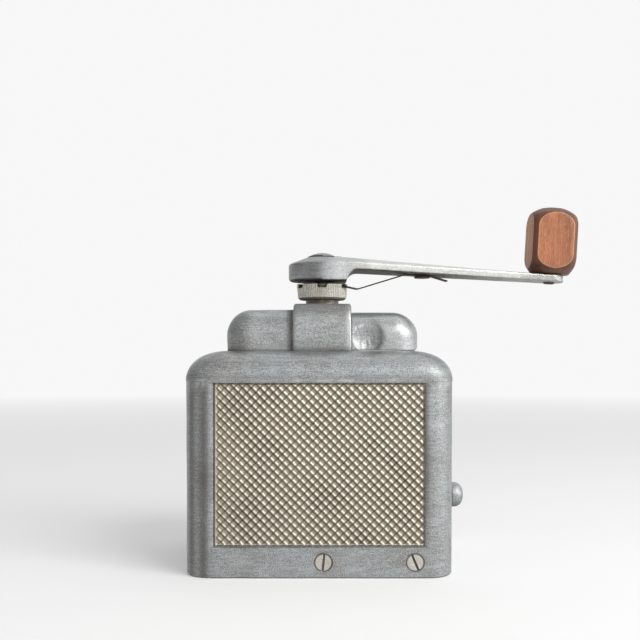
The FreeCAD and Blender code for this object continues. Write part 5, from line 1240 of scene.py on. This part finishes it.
class MILL_OT_handle(MillOperator, Operator):
    """Wooden handle: a turned barrel with four flats, and the pin that carries it

    Near its ends the barrel's radius is sqrt(half^2 + (girth^2 - half^2) (1 - share^2)), so that each
    flat ends in half an ellipse; above lies a dome with a ball's radius.
    """

    bl_idname = "mill.handle"
    bl_label = "Handle"

    def make(self, sizes, paint):
        axis = Vector(KNOB_JOINT["axis"])
        place = Vector(KNOB_JOINT["pos_m"]) / MM
        tilt = math.atan2(axis.x, axis.z)
        turn = Matrix.Translation(place) @ Matrix.Rotation(tilt, 4, "Y")
        foot, tall = 0.6, 29.2
        top = foot + tall
        half, girth, ball = 9.95, 12.7, 16.0
        side = profile([(2.6, foot), (8.3, foot, 0.5), (half, foot + 2.3)], 10)
        share = np.linspace(1, 0, 26)
        belly = np.sqrt(half**2 + (girth**2 - half**2) * (1 - share**2))
        lower = np.stack([belly, foot + 8.3 - 6.0 * share], -1)
        upper = np.stack([belly, top - 8.6 + 6.0 * share], -1)[::-1]
        radius = np.linspace(half, 5.3, 28)
        dome = np.stack([radius, top + 0.869 - ball + np.sqrt(ball**2 - radius**2)], -1)
        sink = np.array([(5.1, top), (4.55, top - 0.05), (4.5, top - 0.3), (4.5, top - 2.2), (2.6, top - 2.2)])
        line = refine(np.concatenate([side, lower[1:], upper, dome[1:], sink]), 0.22)
        angle = np.radians(np.arange(0, 360, 1.0))
        bar = self.bar(angle, half, 1.8)
        radius = self.lesser(line[:, 0, None], bar[None, :], 0.35)
        flat = half / np.maximum(np.abs(np.cos(angle)), np.abs(np.sin(angle)))
        turned = ramp(flat - radius, 0.08, 0.48).ravel().astype(np.float32)
        points = np.stack([
            radius * np.cos(angle), radius * np.sin(angle), np.broadcast_to(line[:, 1, None], radius.shape)
        ], -1)
        handle = mesh_of("handle", [lattice(moved(points, turn), wrap_rows=True)], {"turned": turned})
        uneven(handle, 0.05, 9.0, 8)
        finish_piece("wooden_handle", handle, "handle", ["handle_knob"], wood(paint), sharp=60.0)

        under = -2.9
        line = profile([
            (0, under - 0.8), (2.3, under - 0.8, 0.5), (2.5, under, 0.1), (2.5, top - 2.0), (4.2, top - 2.0),
            (4.2, top - 0.2, 0.6), (0, top - 0.2),
        ])
        pin = mesh_of("pin", [lattice(moved(spun(line, 64), turn))])
        finish_piece("handle_pin", pin, "crank", ["knob_rivet"], dark_steel(paint))

    def bar(self, angle, half, edge):
        """Radius of a chamfered square at each angle."""
        flat = half / np.maximum(np.abs(np.cos(angle)), np.abs(np.sin(angle)))
        diagonal = half * math.sqrt(2) - edge / math.sqrt(2)
        chamfer = diagonal / np.maximum(np.abs(np.cos(angle - math.pi / 4)), np.abs(np.cos(angle + math.pi / 4)))
        return self.lesser(flat, chamfer, 0.2)

    def lesser(self, first, second, blend):
        """The smaller of two, rounded where they cross: the mean less sqrt(difference^2 + blend^2) / 2."""
        return (first + second - np.sqrt((first - second) ** 2 + blend**2)) / 2


class MILL_OT_works(MillOperator, Operator):
    """Finishes of the CAD nodes that stay: plate, rails, screws, funnel and milling works"""

    bl_idname = "mill.works"
    bl_label = "Works and fasteners"

    def make(self, sizes, paint):
        screw, sheet, steel = screw_metal(paint), sheet_metal(paint), dark_steel(paint)
        iron = metal("cast_iron", paint.iron, paint.cast_stain_and_shade, rough=0.6, grain=1.8, metallic=0.7, deep=0.09)
        bronze = metal("bearing_bronze", paint.bronze, paint.nut_dirt_and_shade, rough=0.4, patchy=0.5, metallic=0.95)
        # painted shade: the collar is made dark brown for the shade under the nut
        shaded_collar = metal(
            "collar_steel", paint.shaded_collar, paint.nut_dirt_and_shade, rough=0.4, patchy=0.6, metallic=0.7, deep=0.03,
            bright=0.5,
        )
        burr = metal("burr_steel", paint.screw, paint.steel, rough=0.38, cloud=0.3, patchy=0.6, deep=0.03)
        finishes = {
            screw: (
                "base_screws", "mill_frame_screws", "lower_bearing_screws", "bridge_screws", "cover_screws",
                "drawer_knob_screw", "drawer_rivets",
            ),
            sheet: ("base_plate", "hopper_funnel", "front_rail", "rear_rail"),
            iron: ("mill_frame", "lower_bearing"),
            bronze: ("bridge_bush", "knob_washer"),
            burr: ("outer_burr", "inner_burr"),
            shaded_collar: ("keyed_washer",),
            steel: ("spindle", "burr_pin", "spring_pin", "spring_washer", "thrust_spring", "hinge_pin"),
        }
        for material, names in finishes.items():
            for name in names:
                piece = frame["nodes"][name]
                piece.data.materials.clear()
                piece.data.materials.append(material)


class MILL_OT_stage(MillOperator, Operator):
    """Pale floor, soft lamps, white surroundings and the camera"""

    bl_idname = "mill.stage"
    bl_label = "Stage"

    def make(self, sizes, paint):
        self.floor(paint)
        self.world()
        for name, place, size, power in (
            ("key", (0.75, -0.85, 0.95), 0.9, 9.4), ("front", (0.0, -1.3, 0.45), 0.9, 2.0),
            ("window", (1.15, -0.6, 0.5), 0.5, 4.4), ("side", (1.25, -0.1, 0.2), 0.5, 0.8),
            ("left", (-0.8, -0.6, 1.0), 0.9, 1.2), ("top", (0.1, 0.25, 1.2), 0.9, 1.4),
        ):
            self.lamp(name, place, size, power)
        self.camera()

    def camera(self):
        """It stands 420 mm in front of the spindle, level with the top of the box."""
        data = bpy.data.cameras.new("camera")
        data.sensor_width = 36.0
        data.lens = 52.84
        data.shift_y = 31 / 640
        data.clip_start, data.clip_end = 0.01, 50.0
        camera = bpy.data.objects.new("camera", data)
        camera.location = (-0.00099, -0.420, 0.0922)
        camera.rotation_euler = (math.pi / 2, 0, 0)
        bpy.context.scene.collection.objects.link(camera)
        bpy.context.scene.camera = camera
        bpy.context.scene.view_settings.view_transform = "Standard"

    def floor(self, paint):
        """A round sheet, pale near the mill and plain white further out, where nothing throws a shadow."""
        radius = np.array([0.0, 0.2, 0.5, 1.0, 2.5, 6.0, 20.0])
        rings = spun(np.stack([radius, radius * 0], -1), 64)
        mesh = mesh_of("floor", [lattice(rings)])
        made = bpy.data.materials.new("floor_paint")
        made.use_nodes = True
        tree = made.node_tree
        tree.nodes.clear()
        place = node(tree, "TexCoord").outputs["Object"]
        far = node(tree, "VectorMath", {0: place}, operation="LENGTH").outputs["Value"]
        grain = noise(tree, place, 60.0, 3.0)
        tint = mixed(tree, remap(tree, grain, 0.3, 0.7, 0.0, 0.05), (*paint.floor, 1.0), (0.7, 0.7, 0.7, 1.0))
        sheet = node(tree, "BsdfDiffuse", {"Color": tint})
        plain = node(tree, "Emission", {"Color": WHITE, "Strength": 1.0})
        rays = node(tree, "LightPath").outputs
        seen = maths(tree, "MAXIMUM", rays["Is Glossy Ray"], rays["Is Transmission Ray"])
        seen = maths(tree, "MAXIMUM", rays["Is Camera Ray"], seen)
        glow = node(tree, "Emission", {"Color": WHITE, "Strength": times(tree, seen, 0.25)})
        sheet = node(tree, "AddShader", {0: sheet.outputs[0], 1: glow.outputs[0]})
        far = remap(tree, far, 0.25, 1.6)
        both = node(tree, "MixShader", {0: far, 1: sheet.outputs[0], 2: plain.outputs[0]})
        node(tree, "OutputMaterial", {"Surface": both.outputs[0]})
        made.cycles.emission_sampling = "NONE"
        mesh.materials.append(made)
        floor = bpy.data.objects.new("floor", mesh)
        bpy.context.scene.collection.objects.link(floor)

    def world(self):
        """White as a background; what the mill mirrors is greyer to its left and behind the camera."""
        world = bpy.data.worlds.new("surroundings")
        world.use_nodes = True
        tree = world.node_tree
        tree.nodes.clear()
        rays = node(tree, "LightPath").outputs
        seen = maths(tree, "MAXIMUM", rays["Is Glossy Ray"], rays["Is Transmission Ray"])
        aim = node(tree, "TexCoord").outputs["Generated"]
        aim = node(tree, "VectorMath", {0: aim, 1: (0.8, 0.55, -0.3)}, operation="DOT_PRODUCT")
        shade = remap(tree, aim.outputs["Value"], -0.75, 0.22, 0.3, 1.0)
        strength = times(tree, remap(tree, seen, 0.0, 1.0, 0.45, 1.0), shade)
        strength = maths(tree, "MAXIMUM", strength, rays["Is Camera Ray"])
        sky = node(tree, "Background", {"Color": WHITE, "Strength": strength})
        node(tree, "OutputWorld", {"Surface": sky.outputs[0]})
        bpy.context.scene.world = world

    def lamp(self, name, place, size, power):
        """A round soft lamp that faces the mill's middle."""
        data = bpy.data.lights.new(name, "AREA")
        data.shape, data.size, data.energy = "DISK", size, power
        lamp = bpy.data.objects.new(name, data)
        lamp.location = place
        aim = Vector((0.0, 0.0, 0.07)) - Vector(place)
        lamp.rotation_mode = "QUATERNION"
        lamp.rotation_quaternion = aim.to_track_quat("-Z", "Y")
        bpy.context.scene.collection.objects.link(lamp)


OPERATORS = (
    MILL_OT_casting, MILL_OT_panels, MILL_OT_screws, MILL_OT_hood, MILL_OT_drawer, MILL_OT_nut, MILL_OT_crank,
    MILL_OT_lock_spring, MILL_OT_handle, MILL_OT_works, MILL_OT_stage,
)


class MILL_PT_tools(Panel):
    """Sizes, colours and pieces of the mill"""

    bl_label = "Coffee mill"
    bl_idname = "MILL_PT_tools"
    bl_space_type = "VIEW_3D"
    bl_region_type = "UI"
    bl_category = "Mill"

    def draw(self, context):
        for group in (context.scene.mill_sizes, context.scene.mill_colours):
            for name in group.bl_rna.properties.keys():
                if name not in ("rna_type", "name"):
                    self.layout.prop(group, name)
        for operator in OPERATORS:
            self.layout.operator(operator.bl_idname)


CLASSES = (MillSizes, MillColours, *OPERATORS, MILL_PT_tools)


def register():
    for item in CLASSES:
        bpy.utils.register_class(item)
    bpy.types.Scene.mill_sizes = PointerProperty(type=MillSizes)
    bpy.types.Scene.mill_colours = PointerProperty(type=MillColours)


def unregister():
    del bpy.types.Scene.mill_colours
    del bpy.types.Scene.mill_sizes
    for item in reversed(CLASSES):
        bpy.utils.unregister_class(item)


def main():
    register()
    for operator in OPERATORS:
        group, name = operator.bl_idname.split(".")
        getattr(getattr(bpy.ops, group), name)()
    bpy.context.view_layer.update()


if __name__ == "__main__":
    main()
